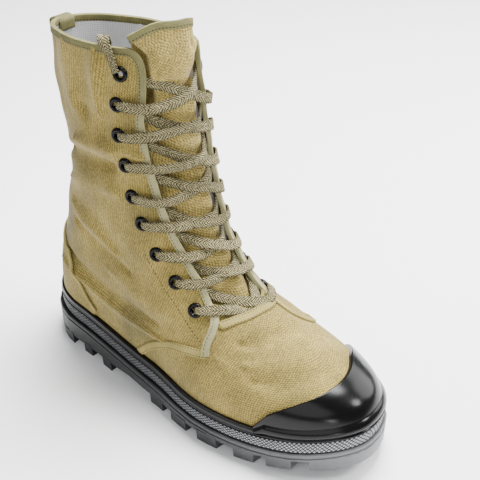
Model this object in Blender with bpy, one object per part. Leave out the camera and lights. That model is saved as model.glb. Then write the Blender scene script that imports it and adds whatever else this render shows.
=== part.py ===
# Right boot of a pair: a laced canvas boot on a vulcanised lug sole
# +Z up, toe towards -Y, heel towards +Y, the wearer's outer (lateral) side at -X.
# The origin lies on the floor under the middle of the boot.

import math

import bmesh
import bpy
import numpy as np
from mathutils import Vector

MM = 0.001

# Driving dimensions of the last and the sole
LENGTH = 300 * MM
BALL_WIDTH = 115 * MM
HEEL_WIDTH = 80 * MM
INSTEP_RISE = 105 * MM
SHAFT_RISE = 135 * MM
SOLE_MEAN = 22 * MM
TOE_SPRING = 14 * MM
ARCH_RISE = 2.5 * MM
COLLAR_TILT = -0.10

# Walls, bands and gaps
WALL = 2.0 * MM
GAP = 0.3 * MM
LUG_DEPTH = 8 * MM
LUG_ROOT = 2 * MM
LUG_DRAFT = 0.9 * MM
RIB_DEPTH = 1.6 * MM
RIB_HEIGHT = 2.2 * MM
FOXING = 3.6 * MM
CAP_GAP = 0.5 * MM
CAP = 2.2 * MM
BUMPER = 3.4 * MM
OVERLAY_GAP = 0.35 * MM
OVERLAY = 1.0 * MM
TAPE_WIDTH = 7 * MM
INSOLE = 3 * MM
INSOLE_FIT = 2.2 * MM

# Tongue, eyelets, laces and pull loop
TONGUE = 1.6 * MM
TONGUE_DEPTH = 5.4 * MM
EYELET_OUTER = 5.4 * MM
EYELET_BARREL = 3.0 * MM
EYELET_BORE = 2.2 * MM
EYELET_ROLL = 1.3 * MM
EYELET_SEAT = 0.65 * MM
EYELET_FIT = 0.3 * MM
LACE_WIDTH = 6.6 * MM
LACE = 1.4 * MM
LACE_IN = 3.3 * MM
LACE_REST = 1.3 * MM
LOOP_WIDTH = 14 * MM
LOOP = 1.5 * MM

# Rings of the upper from the sole to the collar. Fore and aft places and reaches are shares of LENGTH,
# ball and waist half breadths of BALL_WIDTH, heel half breadths of HEEL_WIDTH. A rise of 1 is the
# instep and of 2 the collar. bow is the roundness of the outer side of the toe.
COLUMNS = ("front back front_rise back_rise ridge lat_ball med_ball lat_waist med_waist "
           "lat_heel med_heel reach_lat reach_med reach_back bow").split()
RINGS = np.array([
    (-0.480, 0.480, 0.000, 0.000, 0.100, 0.396, 0.505, 0.343, 0.250, 0.450, 0.410, 0.42, 0.180, 0.150, 1.55),
    (-0.483, 0.481, 0.133, 0.166, 0.100, 0.405, 0.515, 0.350, 0.265, 0.460, 0.425, 0.42, 0.180, 0.150, 1.55),
    (-0.467, 0.478, 0.255, 0.297, 0.100, 0.398, 0.505, 0.350, 0.285, 0.465, 0.440, 0.405, 0.180, 0.150, 1.60),
    (-0.437, 0.473, 0.334, 0.440, 0.100, 0.370, 0.470, 0.345, 0.300, 0.465, 0.445, 0.38, 0.180, 0.155, 1.65),
    (-0.393, 0.464, 0.400, 0.577, 0.100, 0.335, 0.425, 0.335, 0.310, 0.460, 0.445, 0.35, 0.175, 0.160, 1.75),
    (-0.327, 0.453, 0.487, 0.705, 0.100, 0.300, 0.370, 0.325, 0.315, 0.455, 0.445, 0.31, 0.175, 0.165, 1.80),
    (-0.243, 0.445, 0.590, 0.815, 0.095, 0.265, 0.310, 0.315, 0.315, 0.455, 0.445, 0.27, 0.180, 0.170, 1.90),
    (-0.153, 0.435, 0.700, 0.943, 0.090, 0.260, 0.310, 0.305, 0.315, 0.455, 0.445, 0.23, 0.185, 0.175, 2.00),
    (-0.097, 0.422, 0.850, 1.080, 0.085, 0.270, 0.310, 0.305, 0.315, 0.460, 0.445, 0.22, 0.190, 0.180, 2.00),
    (-0.053, 0.404, 1.020, 1.220, 0.085, 0.280, 0.310, 0.310, 0.315, 0.460, 0.450, 0.22, 0.195, 0.185, 2.00),
    (-0.027, 0.403, 1.170, 1.370, 0.085, 0.290, 0.310, 0.310, 0.320, 0.455, 0.455, 0.215, 0.200, 0.190, 2.00),
    (-0.003, 0.415, 1.380, 1.540, 0.085, 0.290, 0.310, 0.305, 0.325, 0.445, 0.465, 0.21, 0.205, 0.200, 2.00),
    (0.013, 0.435, 1.580, 1.700, 0.085, 0.285, 0.310, 0.300, 0.330, 0.435, 0.475, 0.21, 0.205, 0.205, 2.00),
    (0.027, 0.438, 1.780, 1.860, 0.090, 0.275, 0.310, 0.290, 0.335, 0.420, 0.485, 0.21, 0.205, 0.205, 2.00),
    (0.047, 0.436, 2.030, 1.970, 0.100, 0.260, 0.310, 0.270, 0.340, 0.395, 0.495, 0.205, 0.205, 0.205, 2.00),
])
COLLAR = len(RINGS) - 1
SOLE_OUTLINE = dict(zip(COLUMNS, (-0.5, 0.5, 0, 0, 0.100, 0.447, 0.561, 0.397, 0.263,
                                  0.522, 0.460, 0.45, 0.180, 0.150, 1.57)))

# Top of the sole's plate at eighths of LENGTH from the heel: height over SOLE_MEAN as a share of it
PLATE_TOP = np.array((0.27, 0.265, 0.14, 0.03, -0.09, -0.19, -0.235, -0.10, 0.36))
BALL_AT = -0.165
WAIST_AT = 0.05
HEEL_AT = 0.31

# Throat: ring, lateral edge and medial edge, as shares of the way round from the front
THROAT_FOOT = 6.7
THROAT = np.array([
    (0.0, 0.105, 0.930), (6.7, 0.105, 0.935), (7.7, 0.093, 0.947), (8.8, 0.102, 0.950), (9.9, 0.117, 0.942),
    (11.3, 0.129, 0.937), (12.4, 0.130, 0.930), (13.3, 0.120, 0.930), (14.0, 0.132, 0.945)])
# Eyelets: ring, lateral place, medial place, as shares of the way round
EYELETS = np.array([
    (13.45, 0.163, 0.893), (12.70, 0.177, 0.880), (11.88, 0.182, 0.880), (11.10, 0.180, 0.885),
    (10.30, 0.180, 0.888), (9.50, 0.172, 0.892), (8.55, 0.158, 0.893), (7.60, 0.143, 0.893),
    (6.50, 0.145, 0.885)])


def ease(share):
    """Smooth step from 0 to 1."""
    share = np.clip(share, 0, 1)
    return share * share * (3 - 2 * share)


def smooth_row(table, place):
    """A row between the rows of a table, on a smooth curve through them, straight on past the last."""
    last = len(table) - 1
    if place > last:
        return table[last] + (table[last] - table[last - 1]) * (place - last)
    i = min(int(place), last - 1)
    t = place - i
    b, c = table[i], table[i + 1]
    a = table[i - 1] if i else 2 * b - c
    d = table[i + 2] if i + 2 <= last else 2 * c - b
    return 0.5 * (2 * b + (c - a) * t + (2 * a - 5 * b + 4 * c - d) * t * t + (3 * b - a - 3 * c + d) * t ** 3)


def plate_top(station):
    """Height of the sole plate's top at a share of LENGTH from the heel."""
    return SOLE_MEAN * (1 + float(smooth_row(PLATE_TOP, 8 * station)))


def spring(station):
    """Lift of the tread at the toe."""
    return TOE_SPRING * max(0.0, (station - 0.72) / 0.28) ** 1.8


def rise(step):
    return INSTEP_RISE * min(step, 1) + SHAFT_RISE * max(step - 1, 0)


def plan_point(ring, around):
    """Place in plan at a share of the way round a ring, from the front over the lateral side."""
    around = around % 1
    aft = (1 - math.cos(math.tau * around)) / 2
    front, back = ring["front"] * LENGTH, ring["back"] * LENGTH
    y = front + (back - front) * aft
    sign, side = (-1, "lat") if around <= 0.5 else (1, "med")
    ball, waist = ring[side + "_ball"] * BALL_WIDTH, ring[side + "_waist"] * BALL_WIDTH
    heel = ring[side + "_heel"] * HEEL_WIDTH
    if y < WAIST_AT * LENGTH:
        breadth = ball + (waist - ball) * ease((y / LENGTH - BALL_AT) / (WAIST_AT - BALL_AT))
    else:
        breadth = waist + (heel - waist) * ease((y / LENGTH - WAIST_AT) / (HEEL_AT - WAIST_AT))
    reach = ring["reach_" + side] * LENGTH
    bow = ring["bow"] if sign < 0 else 2
    toe = math.sqrt(max(0, 1 - max(0, 1 - (y - front) / reach) ** bow))
    aft_reach = ring["reach_back"] * LENGTH
    tail = math.sqrt(max(0, 1 - max(0, 1 - (back - y) / aft_reach) ** 2))
    ridge = ring["ridge"] * BALL_WIDTH * (1 - ease((y - front) / reach))
    return ridge + (sign * breadth - ridge) * toe * tail, y, aft


def on_last(around, height):
    """Point of the upper's outer face at a share of the way round and a ring number."""
    ring = dict(zip(COLUMNS, smooth_row(RINGS, height)))
    x, y, aft = plan_point(ring, around)
    step = ring["front_rise"] + (ring["back_rise"] - ring["front_rise"]) * aft
    base = plate_top(0.5 - y / LENGTH) - SOLE_MEAN
    z = SOLE_MEAN + rise(step) + base * (1 - ease(step)) + COLLAR_TILT * x * ease((step - 1.3) / 0.7)
    return Vector((x, y, z))


def off_last(around, height, depth):
    """The same point moved out along the face's normal by depth, or in where it is negative."""
    point = on_last(around, height)
    low, high = max(height - 0.05, 0), height + 0.05
    across = on_last(around + 0.004, height) - on_last(around - 0.004, height)
    upward = on_last(around, high) - on_last(around, low)
    out = upward.cross(across)
    if height <= 0:
        out.z = 0
    point += out.normalized() * depth
    if height <= 0:
        point.z = plate_top(0.5 - point.y / LENGTH)
    return point


def material(name, colour, roughness, metallic=0.0):
    made = bpy.data.materials.new(name)
    made.use_nodes = True
    shader = made.node_tree.nodes["Principled BSDF"]
    shader.inputs["Base Color"].default_value = (*colour, 1)
    shader.inputs["Roughness"].default_value = roughness
    shader.inputs["Metallic"].default_value = metallic
    return made


def add_object(name, mesh_builder, finish):
    """A new object from a bmesh, faces outwards."""
    bmesh.ops.recalc_face_normals(mesh_builder, faces=mesh_builder.faces)
    mesh = bpy.data.meshes.new(name)
    mesh_builder.to_mesh(mesh)
    mesh_builder.free()
    if finish:
        mesh.materials.append(finish)
    mesh.shade_smooth()
    mesh.set_sharp_from_angle(angle=math.radians(35))
    made = bpy.data.objects.new(name, mesh)
    bpy.context.scene.collection.objects.link(made)
    return made


def combine(target, other, operation, joined=False):
    """A Boolean of target with a helper, which is hidden from the render. joined says that the
    helper's own pieces run into each other."""
    other.hide_render = True
    other.display_type = "WIRE"
    step = target.modifiers.new(operation.title(), "BOOLEAN")
    step.operation = operation
    step.object = other
    step.solver = "EXACT"
    step.use_self = joined


def shell(name, finish, places, inner, outer, kept=lambda row, col: True, closed=False):
    """A wall between two faces. places is rows of (around, height) pairs, inner and outer give each
    pair's depth, and kept says which cells of the grid there are."""
    build = bmesh.new()
    faces = [[[build.verts.new(off_last(a, h, depth(a, h))) for a, h in row] for row in places]
             for depth in (inner, outer)]
    rows, cols = len(places), len(places[0])
    span = cols if closed else cols - 1
    cells = {(r, c) for r in range(rows - 1) for c in range(span) if kept(r, c)}
    for r, c in cells:
        d = (c + 1) % cols
        for side in faces:
            build.faces.new((side[r][c], side[r][d], side[r + 1][d], side[r + 1][c]))
        edges = (((r - 1, c), (r, c), (r, d)), ((r + 1, c), (r + 1, c), (r + 1, d)),
                 ((r, (c - 1) % span if closed else c - 1), (r, c), (r + 1, c)),
                 ((r, (c + 1) % span if closed else c + 1), (r, d), (r + 1, d)))
        for beside, (ra, ca), (rb, cb) in edges:
            if beside not in cells:
                build.faces.new((faces[0][ra][ca], faces[0][rb][cb], faces[1][rb][cb], faces[1][ra][ca]))
    bmesh.ops.delete(build, geom=[v for v in build.verts if not v.link_faces], context="VERTS")
    return add_object(name, build, finish)


def ribbon(name, finish, route, width, low, high):
    """A flat strip along a route of (around, height, depth) on the last, width across, from low to
    high above that depth. Returns the bmesh object."""
    build = bmesh.new()
    centres = [off_last(a, h, d) for a, h, d in route]
    sections = []
    for i, (a, h, d) in enumerate(route):
        ahead = (centres[min(i + 1, len(centres) - 1)] - centres[max(i - 1, 0)]).normalized()
        out = (off_last(a, h, d + MM) - off_last(a, h, d)).normalized()
        side = ahead.cross(out).normalized() * width / 2
        up = side.cross(ahead).normalized()
        up = up if up.dot(out) > 0 else -up
        sections.append([build.verts.new(centres[i] + offset) for offset in
                         (-side + up * low, side + up * low, side + up * high, -side + up * high)])
    for first, second in zip(sections, sections[1:]):
        for k in range(4):
            build.faces.new((first[k], first[(k + 1) % 4], second[(k + 1) % 4], second[k]))
    build.faces.new(sections[0])
    build.faces.new(reversed(sections[-1]))
    return add_object(name, build, finish)


def along(points, count):
    """Evenly numbered points on a smooth curve through a table of places."""
    table = np.array(points, float)
    return [tuple(smooth_row(table, (len(table) - 1) * i / count)) for i in range(count + 1)]


def throat_edges(height):
    """Lateral and medial edge of the throat at a ring."""
    return [float(np.interp(height, THROAT[:, 0], THROAT[:, column])) for column in (1, 2)]


# Grid that the upper and everything moulded or sewn on it share
FRONT_CELLS = 4
EDGE_TAPE = 0.019
SIDE_CELLS = 12
SIDE_BUNCH = 0.3
HEIGHTS = (0, 0.5, 1, 1.6, 2.2, 2.9, 3.6, 4.3, 5, 5.8, 6.7, 7.1, 7.8, 8.6, 9.4, 10.2, 11, 11.9, 12.8, 13.5, 14)


def side_share(step):
    """Share of the way along a side, closer together in the middle, where the boot is longest."""
    share = step / SIDE_CELLS
    return share + SIDE_BUNCH * math.sin(math.tau * share) / math.tau


def columns_at(height):
    """Shares of the way round at which the grid stands at a ring: front, tape, side, back and so on."""
    lateral, medial = throat_edges(height)
    half = [lateral * i / FRONT_CELLS for i in range(FRONT_CELLS)] + [lateral]
    half += [lateral + EDGE_TAPE + (0.5 - lateral - EDGE_TAPE) * side_share(i) for i in range(SIDE_CELLS + 1)]
    start = medial - EDGE_TAPE
    other = [0.5 + (start - 0.5) * side_share(i) for i in range(1, SIDE_CELLS + 1)]
    other += [medial + (1 - medial) * i / FRONT_CELLS for i in range(FRONT_CELLS)]
    return half + other


ALL_COLUMNS = len(columns_at(0))
LATERAL_EDGE = FRONT_CELLS
MEDIAL_EDGE = ALL_COLUMNS - FRONT_CELLS


def grid(low, high):
    return [[(a, h) for a in columns_at(h)] for h in HEIGHTS if low <= h <= high]


def fixed(depth):
    return lambda around, height: depth


def in_wall(row, col):
    """Every cell of the upper but those of the open throat."""
    return HEIGHTS[row] < THROAT_FOOT or LATERAL_EDGE <= col < MEDIAL_EDGE


def make_upper(canvas):
    upper = shell("upper", canvas, grid(0, COLLAR), fixed(-WALL), fixed(0), in_wall, closed=True)
    combine(upper, eyelet_punches(), "DIFFERENCE")


def frame_at(around, height):
    """Point on the face with its outward normal, and two directions along the face."""
    point = on_last(around, height)
    out = (off_last(around, height, MM) - point).normalized()
    up = (on_last(around, height + 0.05) - point).normalized()
    across = up.cross(out).normalized()
    return point, out, across, out.cross(across)


def turned(name, finish, around, height, profile, sides):
    """A ring turned about the face's normal, from a closed profile of (radius, height) pairs."""
    point, out, across, up = frame_at(around, height)
    build = bmesh.new()
    rings = []
    for i in range(sides):
        angle = math.tau * i / sides
        arm = across * math.cos(angle) + up * math.sin(angle)
        rings.append([build.verts.new(point + arm * radius + out * lift) for radius, lift in profile])
    for i in range(sides):
        first, second = rings[i], rings[(i + 1) % sides]
        for k in range(len(profile)):
            m = (k + 1) % len(profile)
            build.faces.new((first[k], first[m], second[m], second[k]))
    return add_object(name, build, finish)


EYELET_SIDES = 8


def eyelet_punches():
    """A short prism through the wall at each eyelet."""
    build = bmesh.new()
    for side in (1, 2):
        for row in EYELETS:
            point, out, across, up = frame_at(row[side], row[0])
            arms = [across * math.cos(math.tau * i / EYELET_SIDES) + up * math.sin(math.tau * i / EYELET_SIDES)
                    for i in range(EYELET_SIDES)]
            near, far = [[build.verts.new(point + arm * (EYELET_BARREL + EYELET_FIT) + out * lift)
                          for arm in arms]
                         for lift in (-2 * WALL, WALL)]
            for i in range(EYELET_SIDES):
                k = (i + 1) % EYELET_SIDES
                build.faces.new((near[i], near[k], far[k], far[i]))
            build.faces.new(near)
            build.faces.new(reversed(far))
    return add_object("eyelet_punches", build, None)


def make_eyelets(metal):
    seat = EYELET_SEAT
    under = -WALL - EYELET_FIT
    profile = ((EYELET_BORE, seat + 0.5 * EYELET_ROLL), (EYELET_BARREL + 0.5 * EYELET_ROLL, seat + EYELET_ROLL),
               (EYELET_OUTER, seat + 0.2 * EYELET_ROLL), (EYELET_BARREL, seat), (EYELET_BARREL, under),
               (EYELET_BORE, under))
    for side, name in ((1, "lateral"), (2, "medial")):
        for number, row in enumerate(EYELETS, 1):
            turned(f"eyelet_{name}_{number}", metal, row[side], row[0], profile, EYELET_SIDES)


# Foxing: share of the band's height and depth out from the last as a share of FOXING
FOXING_FACE = ((0, 0.92), (0.10, 1.06), (0.16, 0.86), (0.22, 1.10), (0.62, 1.10), (0.68, 0.86), (0.74, 1.0),
               (0.94, 0.92), (0.99, 0.70))


def make_foxing(rubber):
    """The band round the foot of the upper: rib, groove, wide knurled strip, groove, smooth strip."""
    build = bmesh.new()
    columns = columns_at(0)
    sections = []
    for a in columns:
        section = [off_last(a, 0, GAP)]
        section += [off_last(a, height, FOXING * share) for height, share in FOXING_FACE]
        section += [off_last(a, 1, GAP), off_last(a, 0.5, GAP)]
        sections.append([build.verts.new(p) for p in section])
    for i, first in enumerate(sections):
        second = sections[(i + 1) % len(sections)]
        for k in range(len(first)):
            m = (k + 1) % len(first)
            build.faces.new((first[k], first[m], second[m], second[k]))
    add_object("foxing", build, rubber)


# Toe cap's upper edge: share of the way round (negative is medial) and ring
CAP_EDGE = ((-0.152, 1.66), (-0.137, 2.30), (-0.110, 3.10), (-0.078, 3.72), (-0.040, 3.90), (0.0, 3.88),
            (0.035, 3.72), (0.078, 3.23), (0.108, 2.68), (0.133, 1.95), (0.149, 1.62))
# Bumper strip at the cap's foot: ring, depth of its face as a share of BUMPER
BUMPER_FACE = ((1.04, 0.80), (1.10, 1.0), (1.36, 1.0), (1.42, 0.80))
CAP_FOOT = 1.46


def make_toe(rubber):
    """The rubber cap over the toe, with the thicker bumper strip as a step at its foot."""
    edge = along(CAP_EDGE, 22)
    rows = 4
    places = [[(a, height) for a, h in edge] for height, share in BUMPER_FACE]
    places += [[(a, CAP_FOOT + (h - CAP_FOOT) * r / rows) for a, h in edge] for r in range(rows + 1)]
    steps = dict(BUMPER_FACE)
    shell("toe_cap", rubber, places, fixed(CAP_GAP),
          lambda a, h: CAP_GAP + (BUMPER * steps[h] if h in steps else CAP))


# Heel counter's front edge: share of the way round on the lateral side and ring
COUNTER_EDGE = ((0.341, 1.32), (0.348, 1.6), (0.357, 2.1), (0.373, 3.2), (0.390, 4.1), (0.423, 4.7), (0.5, 4.9))
COUNTER_FOOT = 1.05


def make_counter(canvas):
    """The panel round the heel, its top edge arched over the back seam."""
    table = np.array(COUNTER_EDGE)
    half = [table[0][0] + (0.5 - table[0][0]) * i / 9 for i in range(10)]
    edge = [(a, float(np.interp(a, table[:, 0], table[:, 1]))) for a in half]
    edge += [(1 - a, h) for a, h in reversed(edge[:-1])]
    rows = 7
    places = [[(a, COUNTER_FOOT + (h - COUNTER_FOOT) * r / rows) for a, h in edge] for r in range(rows + 1)]
    shell("heel_counter", canvas, places, fixed(OVERLAY_GAP), fixed(OVERLAY_GAP + OVERLAY))


# Tapes along the quarters' lower edges: share of the way round (negative is medial) and ring
QUARTER_EDGES = {
    "lateral": ((0.115, 6.45), (0.135, 5.8), (0.172, 4.5), (0.197, 4.0), (0.226, 3.5), (0.262, 2.28),
                (0.284, 1.35)),
    "medial": ((-0.070, 6.45), (-0.088, 5.8), (-0.118, 4.9), (-0.148, 4.2), (-0.178, 3.5), (-0.206, 2.4),
               (-0.222, 1.35)),
}
VAMP_TAPE_ENDS = (0.080, -0.050)
VAMP_TAPE_AT = 6.42
TAPE_GAP = 0.6 * MM
COLLAR_TAPE = (13.72, 13.97)


def make_tapes(tape):
    """Cotton tape on the quarters' lower edges, over the vamp at the throat, and on the open edges."""
    for name, places in QUARTER_EDGES.items():
        route = [(a, h, TAPE_GAP) for a, h in along(places, 16)]
        ribbon(f"quarter_tape_{name}", tape, route, TAPE_WIDTH, 0, OVERLAY)
    high, low = VAMP_TAPE_ENDS
    across = [(high + (low - high) * i / 10, VAMP_TAPE_AT, TAPE_GAP) for i in range(11)]
    ribbon("vamp_tape", tape, across, TAPE_WIDTH, 0, OVERLAY)
    edges = grid(HEIGHTS[HEIGHTS.index(THROAT_FOOT) + 1], COLLAR)
    for name, first in (("lateral", LATERAL_EDGE), ("medial", MEDIAL_EDGE - 1)):
        strip = [[row[first], row[first + 1]] for row in edges]
        shell(f"throat_tape_{name}", tape, strip, fixed(OVERLAY_GAP), fixed(OVERLAY_GAP + OVERLAY))
    rim = [[(a, h) for a in columns_at(h)[LATERAL_EDGE + 2:MEDIAL_EDGE - 1]] for h in COLLAR_TAPE]
    shell("collar_tape", tape, rim, fixed(OVERLAY_GAP), fixed(OVERLAY_GAP + OVERLAY))


# Tongue's top edge: share of the way round (negative is medial) and ring
TONGUE_TOP = ((-0.150, 14.40), (-0.090, 14.58), (-0.030, 14.62), (0.030, 14.52), (0.090, 14.38), (0.160, 14.12))
TONGUE_FOOT = 5.9
TONGUE_ROWS = 12


def make_tongue(canvas):
    """The tongue, hung under the throat and standing above the collar."""
    edge = along(TONGUE_TOP, 10)
    places = [[(a, TONGUE_FOOT + (h - TONGUE_FOOT) * r / TONGUE_ROWS) for a, h in edge]
              for r in range(TONGUE_ROWS + 1)]

    def sink(height):
        lifted = 0.35 * (1 - ease(height - TONGUE_FOOT)) + 0.5 * ease(height - COLLAR + 0.5)
        return TONGUE_DEPTH * (1 - lifted)

    shell("tongue", canvas, places, lambda a, h: -sink(h) - TONGUE, lambda a, h: -sink(h))


def across_plate(build, lateral, medial):
    """Closes a flat-sided ring with strips straight across, from the front pair to the back pair."""
    for i in range(len(lateral) - 1):
        corners = (lateral[i], lateral[i + 1], medial[i + 1], medial[i])
        build.faces.new(list(dict.fromkeys(corners)))


def lofted(name, finish, rings):
    """A closed body from rings of points, top ring first, closed at both ends straight across.
    Each ring starts at the toe's middle and has an even number of points."""
    build = bmesh.new()
    rows = [[build.verts.new(point) for point in ring] for ring in rings]
    count = len(rows[0])
    for upper, lower in zip(rows, rows[1:]):
        for i in range(count):
            k = (i + 1) % count
            build.faces.new((upper[i], upper[k], lower[k], lower[i]))
    for row in (rows[0], rows[-1]):
        half = count // 2
        across_plate(build, row[:half + 1], [row[-i % count] for i in range(half + 1)])
    return add_object(name, build, finish)


def make_insole(board):
    """The sock on the plate, inside the foot of the upper."""
    count = 36
    ring = [off_last(i / count, 0, -WALL - INSOLE_FIT) for i in range(count)]
    lofted("insole", board, [[point + Vector((0, 0, lift)) for point in ring] for lift in (INSOLE, 0)])


OUTLINE_POINTS = 52


def edge_at(station, side):
    """Where the sole's outline is, across, at a station from the heel. side is -1 lateral, 1 medial."""
    aft = min(max(1 - station, 0), 1)
    around = math.acos(1 - 2 * aft) / math.tau
    return plan_point(SOLE_OUTLINE, around if side < 0 else 1 - around)[0]


def on_plan(station, share, inset=0.0):
    """Point of the tread in plan: share -1 is the lateral edge, 1 the medial edge."""
    lateral, medial = edge_at(station, -1) + inset, edge_at(station, 1) - inset
    return (lateral + medial) / 2 + share * (medial - lateral) / 2, (0.5 - station) * LENGTH


def root(station):
    """Height of the plate's underside: over the lugs, higher at the arch."""
    arch = ease((station - 0.30) / 0.06) * (1 - ease((station - 0.40) / 0.06))
    return LUG_DEPTH + spring(station) + ARCH_RISE * arch


# Side of the plate, from its top: drop and inset from the outline, both as shares of RIB_HEIGHT
SIDE_FACE = ((0, 0.45), (0.40, 0), (1.40, 0), (1.65, 0.55), (2.0, 0.55), (2.25, 0.10))
FOOT_INSET = 0.35

# Side lugs: rear and front station at the edge, inner end as a share of the half breadth, rear and front
# station of the inner end
SIDE_LUGS = {
    -1: ((0.082, 0.140, 0.42, 0.096, 0.126), (0.264, 0.301, 0.38, 0.268, 0.292),
         (0.461, 0.508, 0.52, 0.478, 0.515), (0.5435, 0.599, 0.52, 0.560, 0.612),
         (0.637, 0.694, 0.52, 0.655, 0.705), (0.740, 0.790, 0.52, 0.752, 0.796),
         (0.820, 0.875, 0.50, 0.822, 0.866)),
    1: ((0.088, 0.136, 0.50, 0.100, 0.142), (0.264, 0.299, 0.42, 0.268, 0.294),
        (0.455, 0.500, 0.58, 0.470, 0.512), (0.530, 0.580, 0.58, 0.548, 0.592),
        (0.613, 0.664, 0.58, 0.630, 0.674), (0.700, 0.752, 0.56, 0.712, 0.758),
        (0.790, 0.842, 0.55, 0.794, 0.836)),
}
# Chevrons: lateral end, point and medial end, each as a rear station, front station and share across
CHEVRONS = (
    ((0.500, 0.546, -0.34), (0.562, 0.608, 0.20), (0.520, 0.560, 0.48)),
    ((0.600, 0.654, -0.38), (0.650, 0.700, 0.12), (0.604, 0.640, 0.46)),
    ((0.700, 0.752, -0.34), (0.736, 0.788, 0.16), (0.692, 0.732, 0.44)),
    ((0.806, 0.826, -0.30), (0.872, 0.892, 0.14), (0.796, 0.816, 0.40)),
)
# Waist bars: station, half width in stations, lateral and medial end as shares across
WAIST_BARS = ((0.345, 0.014, -0.52, 0.62), (0.403, 0.014, -0.52, 0.62))
RING_AT = 0.203
RING_REACH = (0.056, 0.50)
RING_HOLE = 0.42
ARM = (0.186, 0.218)
HEEL_CORNER = 0.056
HEEL_TIP = 0.098
TOE_CORNERS = {-1: 0.912, 1: 0.880}
TOE_BIGHT = 0.925


def lug(build, outline, depth=0.0):
    """A block of the tread over an outline of (station, share) pairs, its face at depth over the lowest."""
    foot = [build.verts.new((*on_plan(t, s, LUG_DRAFT), spring(t) + depth)) for t, s in outline]
    top = [build.verts.new((*on_plan(t, s, LUG_DRAFT / 3), root(t) + LUG_ROOT)) for t, s in outline]
    for i in range(len(outline)):
        k = (i + 1) % len(outline)
        build.faces.new((foot[i], foot[k], top[k], top[i]))
    build.faces.new(foot)
    build.faces.new(reversed(top))


def rim_run(first, last, side, steps):
    """Points along the sole's edge between two stations."""
    return [(first + (last - first) * i / steps, side) for i in range(steps + 1)]


def end_run(station, front, steps):
    """Points along the edge from the lateral side at a station round the toe or the heel to the medial."""
    low = math.acos(1 - 2 * (1 - station)) / math.tau
    far = 0.0 if front else 0.5
    run = []
    for i in range(steps + 1):
        around = low + (far - low) * i / steps
        run.append(1 - (1 - math.cos(math.tau * around)) / 2)
    return run


def make_lugs():
    """All lugs of the tread as one helper."""
    build = bmesh.new()
    for side, rows in SIDE_LUGS.items():
        for rear, front, inner, inner_rear, inner_front in rows:
            lug(build, rim_run(rear, front, side, 2)
                + [(inner_front, side * inner), (inner_rear, side * inner)])
    for lateral, point, medial in CHEVRONS:
        lug(build, [(lateral[0], lateral[2]), (point[0], point[2]), (medial[0], medial[2]),
                    (medial[1], medial[2] + 0.06), (point[1], point[2]), (lateral[1], lateral[2] - 0.02)])
    for at, half, first, last in WAIST_BARS:
        round_end = ((-1, 0), (-0.7, 0.045), (0, 0.065), (0.7, 0.045), (1, 0))
        lug(build, [(at + half * a, last + b) for a, b in round_end]
            + [(at - half * a, first - b) for a, b in round_end])
    for side in (-1, 1):
        reach, width = RING_REACH
        lug(build, rim_run(ARM[0], ARM[1], side, 2)
            + [(ARM[1], side * width * 0.62), (RING_AT, side * width), (ARM[0], side * width * 0.72)])
        lug(build, [(RING_AT - reach, -0.02 * side), (RING_AT, side * width), (RING_AT + reach, -0.02 * side),
                    (RING_AT + reach * RING_HOLE, -0.02 * side), (RING_AT, side * width * RING_HOLE),
                    (RING_AT - reach * RING_HOLE, -0.02 * side)])
    heel = end_run(HEEL_CORNER, False, 6)
    lug(build, [(t, -1) for t in heel] + [(t, 1) for t in reversed(heel[:-1])] + [(HEEL_TIP, 0.06)])
    lateral, medial = [end_run(TOE_CORNERS[side], True, 6) for side in (-1, 1)]
    lug(build, [(t, -1) for t in lateral] + [(t, 1) for t in reversed(medial[:-1])]
        + [(TOE_CORNERS[1], 0.62), (TOE_BIGHT, 0.30), (TOE_BIGHT + 0.006, -0.10), (TOE_CORNERS[-1], -0.52)])
    return add_object("lugs", build, None)


def make_outsole(rubber):
    """The lug sole: a plate with a stepped side, its tread joined on."""
    count = OUTLINE_POINTS
    rings = [[] for step in range(len(SIDE_FACE) + 1)]
    for i in range(count):
        around = i / count
        x, y, aft = plan_point(SOLE_OUTLINE, around)
        before, after = plan_point(SOLE_OUTLINE, around - 0.004), plan_point(SOLE_OUTLINE, around + 0.004)
        inward = Vector((after[1] - before[1], before[0] - after[0], 0)).normalized()
        station = 0.5 - y / LENGTH
        for ring, (drop, inset) in zip(rings, SIDE_FACE):
            point = Vector((x, y, plate_top(station) - GAP - drop * RIB_HEIGHT)) + inward * inset * RIB_DEPTH
            ring.append(point)
        rings[-1].append(Vector((x, y, root(station))) + inward * FOOT_INSET * RIB_DEPTH)
    for ring in (rings[0], rings[-1]):
        for i, point in enumerate(ring):
            mate = ring[-i % count]
            point.y = (point.y + mate.y) / 2
            mate.y = point.y
            station = 0.5 - point.y / LENGTH
            point.z = mate.z = plate_top(station) - GAP if ring is rings[0] else root(station)
    outsole = lofted("outsole", rubber, rings)
    combine(outsole, make_lugs(), "UNION", joined=True)


# Depths of the crossing strands, and the hidden bar's ends, ring and bow
LACE_OVER = -0.95 * MM
LACE_UNDER = -1.4 * MM
BAR_ENDS = (0.110, -0.085)
BAR_AT = 6.66
BAR_BOW = 0.22


def lace_route(first, second, rows, over):
    """A strand from on top of one eyelet, over its edge, across and under the other edge.
    first and second are columns of EYELETS and THROAT, rows the strand's two eyelet rows."""
    start, stop = EYELETS[rows[0]], EYELETS[rows[1]]
    begin = start[first] - (1 if start[first] > 0.5 else 0)
    end = stop[second] - (1 if stop[second] > 0.5 else 0)
    run = end - begin

    def at(share, depth):
        return begin + run * share, start[0] + (stop[0] - start[0]) * share, depth

    top = EYELET_SEAT + EYELET_ROLL + LACE_REST + LACE / 2
    cross = LACE_OVER if over else LACE_UNDER
    return [at(-0.01, top), at(0.23, top), at(0.35, top - LACE), at(0.42, cross), at(0.58, cross),
            at(0.72, -LACE_IN), at(0.90, -LACE_IN)]


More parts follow.
